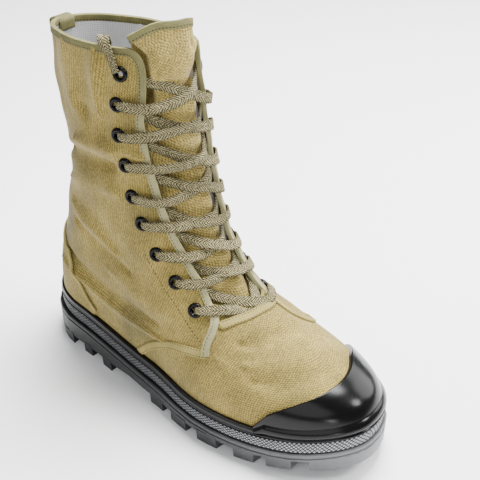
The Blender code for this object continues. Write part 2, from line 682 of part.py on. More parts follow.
def make_laces(cord):
    """Eight crossings, each of two strands joined where they cross, and the bar under the lowest eyelets."""
    for row in range(1, len(EYELETS)):
        rows = (row, row - 1)
        section = LACE_WIDTH, -LACE / 2, LACE / 2
        under = ribbon(f"lace_crossing_{row}", cord, lace_route(1, 2, rows, False), *section)
        over = ribbon(f"strand_{row}", None, lace_route(2, 1, rows, True), *section)
        combine(under, over, "UNION")
    lateral, medial = BAR_ENDS
    bar = [(lateral + (medial - lateral) * i / 8, BAR_AT + BAR_BOW * (1 - (i / 4 - 1) ** 2), -LACE_IN)
           for i in range(9)]
    ribbon("lace_bar", cord, bar, LACE_WIDTH, -LACE / 2, LACE / 2)


# Free end: share of the way round, ring and depth of places that it passes
LACE_END = ((0.166, 13.50, 0.0038), (0.172, 13.80, 0.0040), (0.182, 14.10, 0.0036), (0.190, 14.24, 0.0),
            (0.196, 14.10, -0.0052), (0.202, 13.75, -0.0068), (0.212, 13.20, -0.0080), (0.222, 12.55, -0.0090))
LACE_END_RADIUS = 1.5 * MM


def cord_tube(name, finish, points, radius):
    """A round cord along a curve."""
    curve = bpy.data.curves.new(name, "CURVE")
    curve.dimensions = "3D"
    curve.bevel_depth = radius
    curve.bevel_resolution = 2
    curve.use_fill_caps = True
    line = curve.splines.new("POLY")
    line.points.add(len(points) - 1)
    for place, point in zip(line.points, points):
        place.co = (*point, 1)
    curve.materials.append(finish)
    made = bpy.data.objects.new(name, curve)
    bpy.context.scene.collection.objects.link(made)


def make_lace_end(cord):
    points = [off_last(a, h, d) for a, h, d in along(LACE_END, 14)]
    cord_tube("lace_end", cord, points, LACE_END_RADIUS)


# Pull loop in the middle of the back: ring and depth of the middle of its webbing
LOOP_PATH = ((12.55, 0.0022), (12.80, 0.0024), (13.15, 0.0050), (13.60, 0.0086), (14.00, 0.0088),
             (14.26, 0.0050), (14.30, 0.0000), (14.14, -0.0042), (13.80, -0.0048), (13.45, -0.0048))


def make_loop(webbing):
    """The webbing loop sewn to the back seam outside and inside the collar."""
    build = bmesh.new()
    centres = [off_last(0.5, h, d) for h, d in along(LOOP_PATH, 18)]
    side = Vector((LOOP_WIDTH / 2, 0, 0))
    sections = []
    for i, centre in enumerate(centres):
        ahead = (centres[min(i + 1, len(centres) - 1)] - centres[max(i - 1, 0)]).normalized()
        up = ahead.cross(side).normalized() * LOOP / 2
        corners = (-side - up, side - up, side + up, up - side)
        sections.append([build.verts.new(centre + corner) for corner in corners])
    for first, second in zip(sections, sections[1:]):
        for k in range(4):
            build.faces.new((first[k], first[(k + 1) % 4], second[(k + 1) % 4], second[k]))
    build.faces.new(sections[0])
    build.faces.new(reversed(sections[-1]))
    add_object("pull_loop", build, webbing)


def main():
    for old in list(bpy.data.objects):
        bpy.data.objects.remove(old, do_unlink=True)
    make_upper(material("upper_canvas", (0.45, 0.36, 0.19), 0.92))
    make_outsole(material("sole_rubber", (0.012, 0.012, 0.013), 0.55))
    make_insole(material("insole_board", (0.42, 0.43, 0.46), 0.9))
    make_tongue(material("tongue_canvas", (0.43, 0.35, 0.19), 0.92))
    make_foxing(material("foxing_rubber", (0.012, 0.012, 0.012), 0.5))
    make_toe(material("cap_rubber", (0.010, 0.010, 0.011), 0.25))
    make_counter(material("counter_canvas", (0.45, 0.37, 0.20), 0.92))
    make_tapes(material("edge_tape", (0.47, 0.44, 0.26), 0.9))
    make_eyelets(material("black_eyelet", (0.02, 0.02, 0.02), 0.3, 0.6))
    make_laces(material("lace_cotton", (0.47, 0.44, 0.27), 0.9))
    make_lace_end(material("lace_end_cotton", (0.47, 0.44, 0.27), 0.9))
    make_loop(material("loop_webbing", (0.44, 0.38, 0.21), 0.9))
    rim = [plan_point(SOLE_OUTLINE, i / OUTLINE_POINTS)[0] for i in range(OUTLINE_POINTS)]
    for made in bpy.data.objects:
        made.location.x -= (max(rim) + min(rim)) / 2


main()
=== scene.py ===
# Looks of a right canvas combat boot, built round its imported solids
import math

import bmesh
import bpy
import numpy as np
from mathutils import Matrix, Vector


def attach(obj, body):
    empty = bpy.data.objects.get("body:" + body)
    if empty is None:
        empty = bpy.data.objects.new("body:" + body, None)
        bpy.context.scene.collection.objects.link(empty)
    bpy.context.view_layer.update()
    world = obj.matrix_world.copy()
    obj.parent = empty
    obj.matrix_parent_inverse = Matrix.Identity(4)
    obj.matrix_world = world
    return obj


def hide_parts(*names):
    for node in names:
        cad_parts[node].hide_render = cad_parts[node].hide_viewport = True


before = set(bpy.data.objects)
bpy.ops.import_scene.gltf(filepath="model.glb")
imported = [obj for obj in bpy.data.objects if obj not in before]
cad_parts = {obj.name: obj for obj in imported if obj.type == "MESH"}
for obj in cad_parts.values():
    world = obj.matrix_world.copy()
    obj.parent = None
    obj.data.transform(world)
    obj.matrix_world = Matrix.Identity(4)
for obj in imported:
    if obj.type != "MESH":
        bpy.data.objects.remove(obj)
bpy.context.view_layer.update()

MM = 0.001

# The last and the sole, as in the solids
LENGTH = 300 * MM
BALL_WIDTH = 115 * MM
HEEL_WIDTH = 80 * MM
INSTEP_RISE = 105 * MM
SHAFT_RISE = 135 * MM
SOLE_MEAN = 22 * MM
COLLAR_TILT = -0.10
BALL_AT, WAIST_AT, HEEL_AT = -0.165, 0.05, 0.31
COLUMNS = ("front back front_rise back_rise ridge lat_ball med_ball lat_waist med_waist "
           "lat_heel med_heel reach_lat reach_med reach_back bow").split()
RINGS = np.array([
    (-0.480, 0.480, 0.000, 0.000, 0.100, 0.396, 0.505, 0.343, 0.250, 0.450, 0.410, 0.42, 0.180, 0.150, 1.55),
    (-0.483, 0.481, 0.133, 0.166, 0.100, 0.405, 0.515, 0.350, 0.265, 0.460, 0.425, 0.42, 0.180, 0.150, 1.55),
    (-0.467, 0.478, 0.255, 0.297, 0.100, 0.398, 0.505, 0.350, 0.285, 0.465, 0.440, 0.405, 0.180, 0.150, 1.60),
    (-0.437, 0.473, 0.334, 0.440, 0.100, 0.370, 0.470, 0.345, 0.300, 0.465, 0.445, 0.38, 0.180, 0.155, 1.65),
    (-0.393, 0.464, 0.400, 0.577, 0.100, 0.335, 0.425, 0.335, 0.310, 0.460, 0.445, 0.35, 0.175, 0.160, 1.75),
    (-0.327, 0.453, 0.487, 0.705, 0.100, 0.300, 0.370, 0.325, 0.315, 0.455, 0.445, 0.31, 0.175, 0.165, 1.80),
    (-0.243, 0.445, 0.590, 0.815, 0.095, 0.265, 0.310, 0.315, 0.315, 0.455, 0.445, 0.27, 0.180, 0.170, 1.90),
    (-0.153, 0.435, 0.700, 0.943, 0.090, 0.260, 0.310, 0.305, 0.315, 0.455, 0.445, 0.23, 0.185, 0.175, 2.00),
    (-0.097, 0.422, 0.850, 1.080, 0.085, 0.270, 0.310, 0.305, 0.315, 0.460, 0.445, 0.22, 0.190, 0.180, 2.00),
    (-0.053, 0.404, 1.020, 1.220, 0.085, 0.280, 0.310, 0.310, 0.315, 0.460, 0.450, 0.22, 0.195, 0.185, 2.00),
    (-0.027, 0.403, 1.170, 1.370, 0.085, 0.290, 0.310, 0.310, 0.320, 0.455, 0.455, 0.215, 0.200, 0.190, 2.00),
    (-0.003, 0.415, 1.380, 1.540, 0.085, 0.290, 0.310, 0.305, 0.325, 0.445, 0.465, 0.21, 0.205, 0.200, 2.00),
    (0.013, 0.435, 1.580, 1.700, 0.085, 0.285, 0.310, 0.300, 0.330, 0.435, 0.475, 0.21, 0.205, 0.205, 2.00),
    (0.027, 0.438, 1.780, 1.860, 0.090, 0.275, 0.310, 0.290, 0.335, 0.420, 0.485, 0.21, 0.205, 0.205, 2.00),
    (0.047, 0.436, 2.030, 1.970, 0.100, 0.260, 0.310, 0.270, 0.340, 0.395, 0.495, 0.205, 0.205, 0.205, 2.00),
])
COLLAR = len(RINGS) - 1
SOLE_OUTLINE = np.array([(-0.5, 0.5, 0, 0, 0.100, 0.447, 0.561, 0.397, 0.263,
                          0.522, 0.460, 0.45, 0.180, 0.150, 1.57)])
PLATE_TOP = np.array([(0.27,), (0.265,), (0.14,), (0.03,), (-0.09,), (-0.19,), (-0.235,), (-0.10,), (0.36,)])
# Throat's edges: ring, and share of the way round of the lateral and the medial edge
THROAT_FOOT = 6.7
THROAT = np.array([
    (0.0, 0.105, 0.930), (6.7, 0.105, 0.935), (7.7, 0.093, 0.947), (8.8, 0.102, 0.950), (9.9, 0.117, 0.942),
    (11.3, 0.129, 0.937), (12.5, 0.130, 0.930), (13.2, 0.1215, 0.930), (13.75, 0.1155, 0.941),
    (14.0, 0.115, 0.945)])
# Eyelets from the top: ring, and share of the way round on the lateral and the medial side
EYELETS = np.array([
    (13.45, 0.163, 0.893), (12.70, 0.177, 0.880), (11.88, 0.182, 0.880), (11.10, 0.180, 0.885),
    (10.30, 0.180, 0.888), (9.50, 0.172, 0.892), (8.55, 0.158, 0.893), (7.60, 0.143, 0.893),
    (6.50, 0.145, 0.885)])


def ease(share):
    share = np.clip(share, 0, 1)
    return share * share * (3 - 2 * share)


def unit(vectors):
    return vectors / np.linalg.norm(vectors, axis=-1, keepdims=True)


def smooth_rows(table, place):
    """Rows between the rows of a table, on a smooth curve through them, straight on past the last."""
    table = np.asarray(table, float)
    place = np.asarray(place, float)
    if len(table) == 1:
        return np.broadcast_to(table[0], place.shape + table.shape[1:])
    full = np.concatenate([[2 * table[0] - table[1]], table, [2 * table[-1] - table[-2]]])
    last = len(table) - 1
    i = np.clip(np.floor(place).astype(int), 0, last - 1)
    t = (np.minimum(place, last) - i)[..., None]
    a, b, c, d = full[i], full[i + 1], full[i + 2], full[i + 3]
    row = 0.5 * (2 * b + (c - a) * t + (2 * a - 5 * b + 4 * c - d) * t * t
                 + (3 * b - a - 3 * c + d) * t ** 3)
    return row + (table[-1] - table[-2]) * np.maximum(place - last, 0)[..., None]


def plate_top(station):
    return SOLE_MEAN * (1 + smooth_rows(PLATE_TOP, 8 * np.asarray(station))[..., 0])


def rise(step):
    return INSTEP_RISE * np.minimum(step, 1) + SHAFT_RISE * np.maximum(step - 1, 0)


def plan_point(rings, height, around):
    """Places in plan at shares of the way round rings, from the front over the lateral side."""
    row = dict(zip(COLUMNS, np.moveaxis(smooth_rows(rings, height), -1, 0)))
    around = np.mod(around, 1)
    aft = (1 - np.cos(math.tau * around)) / 2
    front, back = row["front"] * LENGTH, row["back"] * LENGTH
    y = front + (back - front) * aft
    outer = around <= 0.5
    sign = np.where(outer, -1, 1)
    side = lambda kind: np.where(outer, row["lat_" + kind], row["med_" + kind])
    ball, waist, heel = side("ball") * BALL_WIDTH, side("waist") * BALL_WIDTH, side("heel") * HEEL_WIDTH
    fore = ball + (waist - ball) * ease((y / LENGTH - BALL_AT) / (WAIST_AT - BALL_AT))
    rear = waist + (heel - waist) * ease((y / LENGTH - WAIST_AT) / (HEEL_AT - WAIST_AT))
    breadth = np.where(y < WAIST_AT * LENGTH, fore, rear)
    reach = np.where(outer, row["reach_lat"], row["reach_med"]) * LENGTH
    bow = np.where(outer, row["bow"], 2.0)
    toe = np.sqrt(np.maximum(0, 1 - np.maximum(0, 1 - (y - front) / reach) ** bow))
    tail = np.sqrt(np.maximum(0, 1 - np.maximum(0, 1 - (back - y) / (row["reach_back"] * LENGTH)) ** 2))
    ridge = row["ridge"] * BALL_WIDTH * (1 - ease((y - front) / reach))
    return ridge + (sign * breadth - ridge) * toe * tail, y, row["front_rise"] + (
        row["back_rise"] - row["front_rise"]) * aft


OUTLINE_POINTS = 52
RIM_X = plan_point(SOLE_OUTLINE, np.zeros(OUTLINE_POINTS), np.arange(OUTLINE_POINTS) / OUTLINE_POINTS)[0]
# How far the boot moves across, so that its sole lies in the middle
SHIFT = -(RIM_X.max() + RIM_X.min()) / 2


def on_last(around, height):
    """Points of the upper's outer face, as an array of places."""
    around, height = np.broadcast_arrays(np.asarray(around, float), np.asarray(height, float))
    x, y, step = plan_point(RINGS, height, around)
    base = plate_top(0.5 - y / LENGTH) - SOLE_MEAN
    z = SOLE_MEAN + rise(step) + base * (1 - ease(step)) + COLLAR_TILT * x * ease((step - 1.3) / 0.7)
    return np.stack([x + SHIFT, y, z], -1)


STEP_ROUND, STEP_UP = 0.004, 0.05


def outward(around, height):
    """The outer face's normals, measured over a short step round the last and up it."""
    around, height = np.asarray(around), np.asarray(height)
    low, high = np.maximum(height - STEP_UP, 0), height + STEP_UP
    across = on_last(around + STEP_ROUND, height) - on_last(around - STEP_ROUND, height)
    return unit(np.cross(on_last(around, high) - on_last(around, low), across))


def off_last(around, height, depth):
    return on_last(around, height) + outward(around, height) * np.asarray(depth)[..., None]


# Flat lace: width and thickness. Knurl of the band: distance between its studs
LACE_WIDTH, LACE = 7.4 * MM, 1.4 * MM
KNURL = 2.3 * MM
# Lockstitches drawn on a tape: spacing, half length and half width
STITCH, STITCH_LONG, STITCH_WIDE = 2.4 * MM, 0.8 * MM, 0.34 * MM


# Colours and materials
def srgb(text):
    """sRGB hex to linear."""
    parts = [int(text[i:i + 2], 16) / 255 for i in (1, 3, 5)]
    return [c / 12.92 if c <= 0.04045 else ((c + 0.055) / 1.055) ** 2.4 for c in parts] + [1]


def new_material(name):
    made = bpy.data.materials.new(name)
    made.use_nodes = True
    return made, made.node_tree.nodes["Principled BSDF"]


def node(made, kind, settings=(), **links):
    """Adds a node. settings are its properties; links are values or sockets for its inputs."""
    tree = made.node_tree
    added = tree.nodes.new(kind)
    for key, value in dict(settings).items():
        setattr(added, key, value)
    for key, value in links.items():
        if key.startswith("in"):
            socket = added.inputs[int(key[2:])]
        else:
            socket = added.inputs[key.replace("_", " ")]
        if isinstance(value, bpy.types.NodeSocket):
            tree.links.new(value, socket)
        else:
            socket.default_value = value
    return added


def sums(made, kind, first, second=0.0, third=0.0):
    """Result of a Math node."""
    return node(made, "ShaderNodeMath", {"operation": kind}, in0=first, in1=second, in2=third).outputs[0]


def parts_of(made, place):
    return node(made, "ShaderNodeSeparateXYZ", Vector=place).outputs


def cloth_place(made):
    """Metres along and across the cloth, on the piece's own map."""
    return node(made, "ShaderNodeUVMap", {"uv_map": "cloth"}).outputs["UV"]


def boot_place(made):
    return node(made, "ShaderNodeTexCoord").outputs["Object"]


def between(made, axis, first, second):
    """Share of the way from one place on an axis of the boot to another."""
    place = parts_of(made, boot_place(made))[axis]
    return node(made, "ShaderNodeMapRange", Value=place, From_Min=first, From_Max=second).outputs["Result"]


def ramp(made, factor, *stops):
    """A colour ramp over (place, colour) stops; a number stands for a grey."""
    added = node(made, "ShaderNodeValToRGB", Fac=factor)
    elements = added.color_ramp.elements
    while len(elements) < len(stops):
        elements.new(0.5)
    for element, (place, colour) in zip(elements, stops):
        element.position = place
        element.color = srgb(colour) if isinstance(colour, str) else (colour, colour, colour, 1)
    return added.outputs["Color"]


def weave_of(made, pitch):
    """Plain weave on the piece's own map: height of its knots from 0 to 1, one every pitch, in slightly
    wandering threads."""
    wander = node(made, "ShaderNodeTexNoise", Vector=boot_place(made), Scale=330, Detail=2).outputs["Color"]
    place = node(made, "ShaderNodeVectorMath", {"operation": "MULTIPLY_ADD"}, in0=wander,
                 in1=(0.9 * pitch, 0.9 * pitch, 0), in2=cloth_place(made)).outputs["Vector"]
    parts = parts_of(made, place)
    waves = [sums(made, "SINE", sums(made, "MULTIPLY", parts[axis], math.tau / pitch)) for axis in "XY"]
    return sums(made, "MULTIPLY_ADD", sums(made, "ADD", *waves), 0.25, 0.5)


def mixed(made, factor, first, second, blend="MIX"):
    """The second colour over the first, by a factor."""
    if isinstance(second, str):
        second = srgb(second)
    added = node(made, "ShaderNodeMix", {"data_type": "RGBA", "blend_type": blend}, in0=factor, in6=first,
                 in7=second)
    return added.outputs[2]


def darkened(made, factor, base, pattern, *stops):
    """The colour times the greys that a pattern gives."""
    return mixed(made, factor, base, ramp(made, pattern, *stops), "MULTIPLY")


def surfaced(made, shader, base, roughness, specular=0.2):
    made.node_tree.links.new(base, shader.inputs["Base Color"])
    shader.inputs["Roughness"].default_value = roughness
    shader.inputs["Specular IOR Level"].default_value = specular


def bumped(made, shader, height, strength, distance):
    added = node(made, "ShaderNodeBump", Height=height, Strength=strength, Distance=distance)
    made.node_tree.links.new(added.outputs["Normal"], shader.inputs["Normal"])


def noise(made, scale, detail=3.0, rough=0.5, squash=(1, 1, 1)):
    place = node(made, "ShaderNodeMapping", Vector=boot_place(made), Scale=squash).outputs["Vector"]
    added = node(made, "ShaderNodeTexNoise", Vector=place, Scale=scale, Detail=detail, Roughness=rough)
    return added.outputs["Fac"]


def canvas(name, light, middle, dark, pitch=1.8 * MM):
    """Cotton duck: plain weave, faded to straw in patches, with streaks up the boot and thick yarns. The
    real threads are 0.6 mm apart, drawn coarser so that they show."""
    made, shader = new_material(name)
    threads = weave_of(made, pitch)
    streak = noise(made, 60, 3, 0.6, (1, 1, 0.25))
    slub = noise(made, 700, 2, 0.6)
    base = ramp(made, noise(made, 17, 5, 0.62), (0.32, dark), (0.50, middle), (0.68, light))
    base = darkened(made, 0.55, base, streak, (0.35, 0.70), (0.62, 1.0))
    base = darkened(made, 0.75, base, slub, (0.38, 0.52), (0.60, 1.0))
    base = darkened(made, 0.85, base, threads, (0.25, 0.35), (0.62, 1.0))
    surfaced(made, shader, base, 0.93)
    shader.inputs["Sheen Weight"].default_value = 0.12
    shader.inputs["Sheen Roughness"].default_value = 0.5
    soft = node(made, "ShaderNodeBump", Height=noise(made, 45, 3, 0.55), Strength=0.5, Distance=1.0 * MM)
    fine = node(made, "ShaderNodeBump", Height=threads, Strength=0.35, Distance=0.4 * MM,
                Normal=soft.outputs["Normal"])
    made.node_tree.links.new(fine.outputs["Normal"], shader.inputs["Normal"])
    return made


def tape(name, light, dark, rib=0.9 * MM, rows=(1.2 * MM, 5.6 * MM), lower=None):
    """Cotton binding tape: fine ribs along it, and rows of lockstitch at set distances from its edge.
    lower is the light and dark of its more faded part, below the collar."""
    made, shader = new_material(name)
    parts = parts_of(made, cloth_place(made))
    ribs = sums(made, "SINE", sums(made, "MULTIPLY", parts["Y"], math.tau / rib))
    ribs = sums(made, "MULTIPLY_ADD", ribs, 0.5, 0.5)
    holes = None
    for row in rows:
        away = sums(made, "DIVIDE", sums(made, "SUBTRACT", parts["Y"], row), STITCH_WIDE)
        along = sums(made, "SUBTRACT", sums(made, "MODULO", parts["X"], STITCH), STITCH / 2)
        along = sums(made, "DIVIDE", along, STITCH_LONG)
        hole = sums(made, "ADD", sums(made, "POWER", away, 2.0), sums(made, "POWER", along, 2.0))
        hole = sums(made, "LESS_THAN", hole, 1.0)
        holes = hole if holes is None else sums(made, "MAXIMUM", holes, hole)
    fade = noise(made, 60, 3, 0.6)
    base = ramp(made, fade, (0.3, dark), (0.7, light))
    if lower:
        base = mixed(made, between(made, "Z", 0.205, 0.25), ramp(made, fade, (0.3, lower[1]), (0.7, lower[0])),
                     base)
    base = darkened(made, 0.5, base, ribs, (0.0, 0.55), (0.7, 1.0))
    base = darkened(made, 0.4, base, noise(made, 900, 2, 0.6), (0.35, 0.65), (0.65, 1.0))
    lowered = ribs
    if holes:
        base = mixed(made, sums(made, "MULTIPLY", holes, 0.8), base, "#2E2A1C")
        lowered = sums(made, "SUBTRACT", ribs, holes)
    surfaced(made, shader, base, 0.9)
    bumped(made, shader, lowered, 0.6, 0.3 * MM)
    return made


def braid(name, light, dark, pitch=2.0 * MM):
    """Flat cotton lace: two columns of slanting plaits that meet in the middle, speckled by its yarns.
    The plaits' dark is painted shade in their grooves, and painted shade darkens both its edges.
    """
    made, shader = new_material(name)
    parts = parts_of(made, cloth_place(made))
    side = sums(made, "ABSOLUTE", sums(made, "SUBTRACT", parts["Y"], LACE_WIDTH / 2))
    along = sums(made, "MULTIPLY_ADD", noise(made, 330, 2, 0.5), 2.4 * MM, parts["X"])
    slant = sums(made, "MULTIPLY", sums(made, "MULTIPLY_ADD", side, 1.1, along), math.tau / pitch)
    cross = sums(made, "MULTIPLY", sums(made, "MULTIPLY_ADD", side, -1.1, along), math.tau / (pitch * 0.8))
    plait = sums(made, "MULTIPLY_ADD", sums(made, "SINE", cross), 0.16, 0.5)
    plait = sums(made, "MULTIPLY_ADD", sums(made, "SINE", slant), 0.34, plait)
    # Painted shade: the plait's dark stop stands for shade in the grooves between the plaits
    base = ramp(made, plait, (0.25, dark), (0.66, light))
    base = darkened(made, 0.8, base, noise(made, 900, 2, 0.6), (0.40, 0.30), (0.58, 1.0))
    # Painted shade: darker towards both edges, where the lace rounds away from the light
    base = darkened(made, 0.8, base, sums(made, "DIVIDE", side, LACE_WIDTH / 2), (0.6, 1.0), (1.0, 0.40))
    surfaced(made, shader, base, 0.9)
    bumped(made, shader, plait, 1.0, 0.7 * MM)
    return made


def lining(name):
    """Pale grey cotton lining in a plain weave, drawn coarser so that it shows."""
    made, shader = new_material(name)
    threads = weave_of(made, 1.5 * MM)
    surfaced(made, shader, ramp(made, threads, (0.2, "#A9A9AA"), (0.8, "#D0D0D2")), 0.95)
    bumped(made, shader, threads, 0.4, 0.25 * MM)
    return made


def rubber(name, roughness, specular, knurl=False):
    """Vulcanised black rubber: glossy on the cap and duller on the band. Its knurl has small pointed
    studs, grey and paler towards the toe."""
    made, shader = new_material(name)
    fade = noise(made, 30, 4, 0.6)
    base = ramp(made, fade, (0.3, "#030303"), (0.7, "#050505"))
    if knurl:
        place = node(made, "ShaderNodeMapping", Vector=cloth_place(made), Rotation=(0, 0, math.pi / 4))
        parts = parts_of(made, place.outputs["Vector"])
        waves = [sums(made, "SINE", sums(made, "MULTIPLY", parts[axis], math.pi / KNURL)) for axis in "XY"]
        stud = sums(made, "MINIMUM", *[sums(made, "ABSOLUTE", wave) for wave in waves])
        stud_grey = ramp(made, between(made, "Y", 0.05, -0.13), (0.0, "#58595A"), (0.5, "#737476"), (1.0, "#A3A4A6"))
        base = mixed(made, ramp(made, stud, (0.34, 0.0), (0.60, 1.0)), base, stud_grey)
        bumped(made, shader, stud, 1.0, 0.8 * MM)
    else:
        bumped(made, shader, noise(made, 260, 2, 0.5), 0.06, 0.2 * MM)
    surfaced(made, shader, base, roughness, specular)
    rough = ramp(made, fade, (0.3, roughness), (0.75, roughness + 0.05))
    made.node_tree.links.new(rough, shader.inputs["Roughness"])
    return made


def sole_rubber(name):
    """Moulded tread rubber: nearly black at the heel and paler grey towards the toe, pebbled on the
    lugs' lower faces."""
    made, shader = new_material(name)
    base = ramp(made, between(made, "Y", 0.10, -0.15), (0.0, "#161617"), (0.6, "#2B2C2D"), (1.0, "#6A6B6D"))
    base = darkened(made, 0.5, base, noise(made, 70, 4, 0.6), (0.3, 0.65), (0.7, 1.0))
    surfaced(made, shader, base, 0.46, 0.35)
    down = parts_of(made, node(made, "ShaderNodeNewGeometry").outputs["Normal"])["Z"]
    pebbles = node(made, "ShaderNodeTexVoronoi", {"feature": "F1"}, Vector=boot_place(made), Scale=520)
    raised = sums(made, "MULTIPLY", pebbles.outputs["Distance"], sums(made, "LESS_THAN", down, -0.6))
    bumped(made, shader, raised, 0.8, 0.8 * MM)
    return made


def enamel(name):
    """Black japanned brass of the eyelets: glossy, with hardly any grain."""
    made, shader = new_material(name)
    fade = noise(made, 500, 2, 0.5)
    surfaced(made, shader, ramp(made, fade, (0.4, "#020203"), (0.7, "#060608")), 0.22, 0.15)
    bumped(made, shader, fade, 0.05, 0.1 * MM)
    return made


CANVAS = canvas("cotton_duck", "#B49E55", "#9F8C4A", "#7C703E")
TONGUE_CANVAS = canvas("cotton_duck_tongue", "#CEB96F", "#BDA75E", "#8A7B46", pitch=2.1 * MM)
BINDING = tape("cotton_binding", "#A49559", "#8C7F49")
COLLAR_BINDING = tape("olive_binding", "#7C784F", "#615D3D", rows=(4.0 * MM,), lower=("#A8A27A", "#8E8861"))
WEBBING = tape("olive_webbing", "#77734C", "#5A573A", rib=0.8 * MM, rows=())
THREAD = tape("brown_thread", "#4A3F2A", "#3A3120", rows=())
# The lace's dark colour is painted shade in the grooves between its plaits
LACE_CLOTH = braid("braided_cotton", "#AAA077", "#342E1B")
LINING = lining("drill_lining")
INSOLE_BOARD = lining("brushed_insole")
CAP_RUBBER = rubber("polished_rubber", 0.20, 0.2)
BAND_RUBBER = rubber("band_rubber", 0.36, 0.22)
KNURL_RUBBER = rubber("knurled_rubber", 0.45, 0.22, knurl=True)
SOLE_RUBBER = sole_rubber("sole_rubber")
EYELET_BLACK = enamel("japanned_eyelet")


# Modelling
def linked(name, data):
    made = bpy.data.objects.new(name, data)
    bpy.context.scene.collection.objects.link(made)
    return made


def placed(across, up, out, at):
    """Matrix with the given axes, moved to a point."""
    placing = Matrix([[*across], [*up], [*out]]).transposed().to_4x4()
    placing.translation = at
    return placing


def lattice(across, along):
    """Shares along both sides of a grid of cells."""
    return np.meshgrid(np.arange(across + 1) / across, np.arange(along + 1) / along, indexing="ij")


def arcs(points, axis, start=0):
    """Distance run along a lattice of points, from index start."""
    run = np.cumsum(np.linalg.norm(np.diff(points, axis=axis), axis=-1), axis=axis)
    run = np.concatenate([np.zeros_like(np.take(run, [0], axis)), run], axis=axis)
    return run - np.take(run, [start], axis)


def sheet_shape(points, cloth=None, out=None):
    """A grid moved onto a lattice of points, with its cloth map in metres, faces towards out."""
    across, along = points.shape[0] - 1, points.shape[1] - 1
    shape = bmesh.new()
    bmesh.ops.create_grid(shape, x_segments=across, y_segments=along, size=0.5)
    if len(shape.verts) != (across + 1) * (along + 1):
        raise ValueError("the grid doesn't have the cells asked for")
    spots = [(round((v.co.x + 0.5) * across), round((v.co.y + 0.5) * along)) for v in shape.verts]
    if cloth is None:
        cloth = np.stack([arcs(points, 0), arcs(points, 1)], -1)
    layer = shape.loops.layers.uv.new("cloth")
    column, row = shape.verts.layers.int.new("column"), shape.verts.layers.int.new("row")
    shape.verts.index_update()
    for vert, spot in zip(shape.verts, spots):
        vert.co = points[spot]
        vert[column], vert[row] = spot
    for face in shape.faces:
        for loop in face.loops:
            loop[layer].uv = cloth[spots[loop.vert.index]]
    if out is not None:
        shape.normal_update()
        total = sum(vert.normal.dot(Vector(out[spot])) for vert, spot in zip(shape.verts, spots))
        if total < 0:
            bmesh.ops.reverse_faces(shape, faces=shape.faces)
    return shape


def finished(name, shape, *finishes, replaced=(), smooth=True, wall=0.0):
    """The bmesh as a piece riding on the boot, with a wall inwards where one is given."""
    mesh = bpy.data.meshes.new(name)
    for layer in shape.verts.layers.int.values():
        shape.verts.layers.int.remove(layer)
    shape.to_mesh(mesh)
    shape.free()
    for finish in finishes:
        mesh.materials.append(finish)
    if smooth:
        mesh.shade_smooth()
    piece = linked(name, mesh)
    if wall:
        layer = piece.modifiers.new("wall", "SOLIDIFY")
        layer.thickness = wall
        layer.offset = -1
        layer.material_offset = len(finishes) - 1
        layer.material_offset_rim = 0
    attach(piece, "root")
    if replaced:
        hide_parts(*replaced)
    return piece


def rounded(left, right, low, high, radius, steps=3):
    """Corners of a rounded rectangle, across and up."""
    corners = []
    for x, z, start in ((right - radius, high - radius, 0), (left + radius, high - radius, 1),
                        (left + radius, low + radius, 2), (right - radius, low + radius, 3)):
        for i in range(steps + 1):
            angle = (start + i / steps) * math.pi / 2
            corners.append((x + radius * math.cos(angle), z + radius * math.sin(angle)))
    return np.array(corners)


def swept(name, points, sides, ups, section, finish, replaced=(), widths=1.0):
    """A strip along points with a closed section of (across, up) pairs. The cloth map runs along the
    strip and across it from its first edge."""
    widths = np.broadcast_to(widths, len(points))[:, None]
    ring = np.concatenate([section, section[:1]])
    spots = (points[:, None] + sides[:, None] * (widths * ring[:, 0])[..., None]
             + ups[:, None] * ring[None, :, 1:])
    run = arcs(points[:, None], 0)
    cloth = np.stack([np.broadcast_to(run, spots.shape[:2]),
                      np.broadcast_to(ring[:, 0] - section[:, 0].min(), spots.shape[:2])], -1)
    shape = sheet_shape(spots, cloth)
    bmesh.ops.remove_doubles(shape, verts=shape.verts, dist=1e-6)
    bmesh.ops.holes_fill(shape, edges=[edge for edge in shape.edges if edge.is_boundary], sides=0)
    bmesh.ops.recalc_face_normals(shape, faces=shape.faces)
    return finished(name, shape, finish, replaced=replaced)


def smooth_line(table, step):
    """Rows of a table read on a smooth curve at even steps of the way between its places on the last."""
    table = np.asarray(table, float)
    places = np.linspace(0, len(table) - 1, 16 * len(table))
    line = smooth_rows(table, places)
    spots = off_last(line[:, 0], line[:, 1], line[:, 2] if table.shape[1] > 2 else 0 * line[:, 0])
    run = np.concatenate([[0], np.cumsum(np.linalg.norm(np.diff(spots, axis=0), axis=1))])
    count = max(int(run[-1] / step), 4)
    return smooth_rows(table, np.interp(np.linspace(0, run[-1], count + 1), run, places))


def directions(points, outs):
    """Side and up directions along a strip."""
    ahead = unit(np.gradient(points, axis=0))
    sides = unit(np.cross(ahead, outs))
    return sides, np.cross(sides, ahead)


def square_to(points, sides):
    """Side directions made square to a strip, and its up directions."""
    ahead = unit(np.gradient(points, axis=0))
    sides = unit(sides - np.sum(sides * ahead, 1, keepdims=True) * ahead)
    return sides, np.cross(sides, ahead)


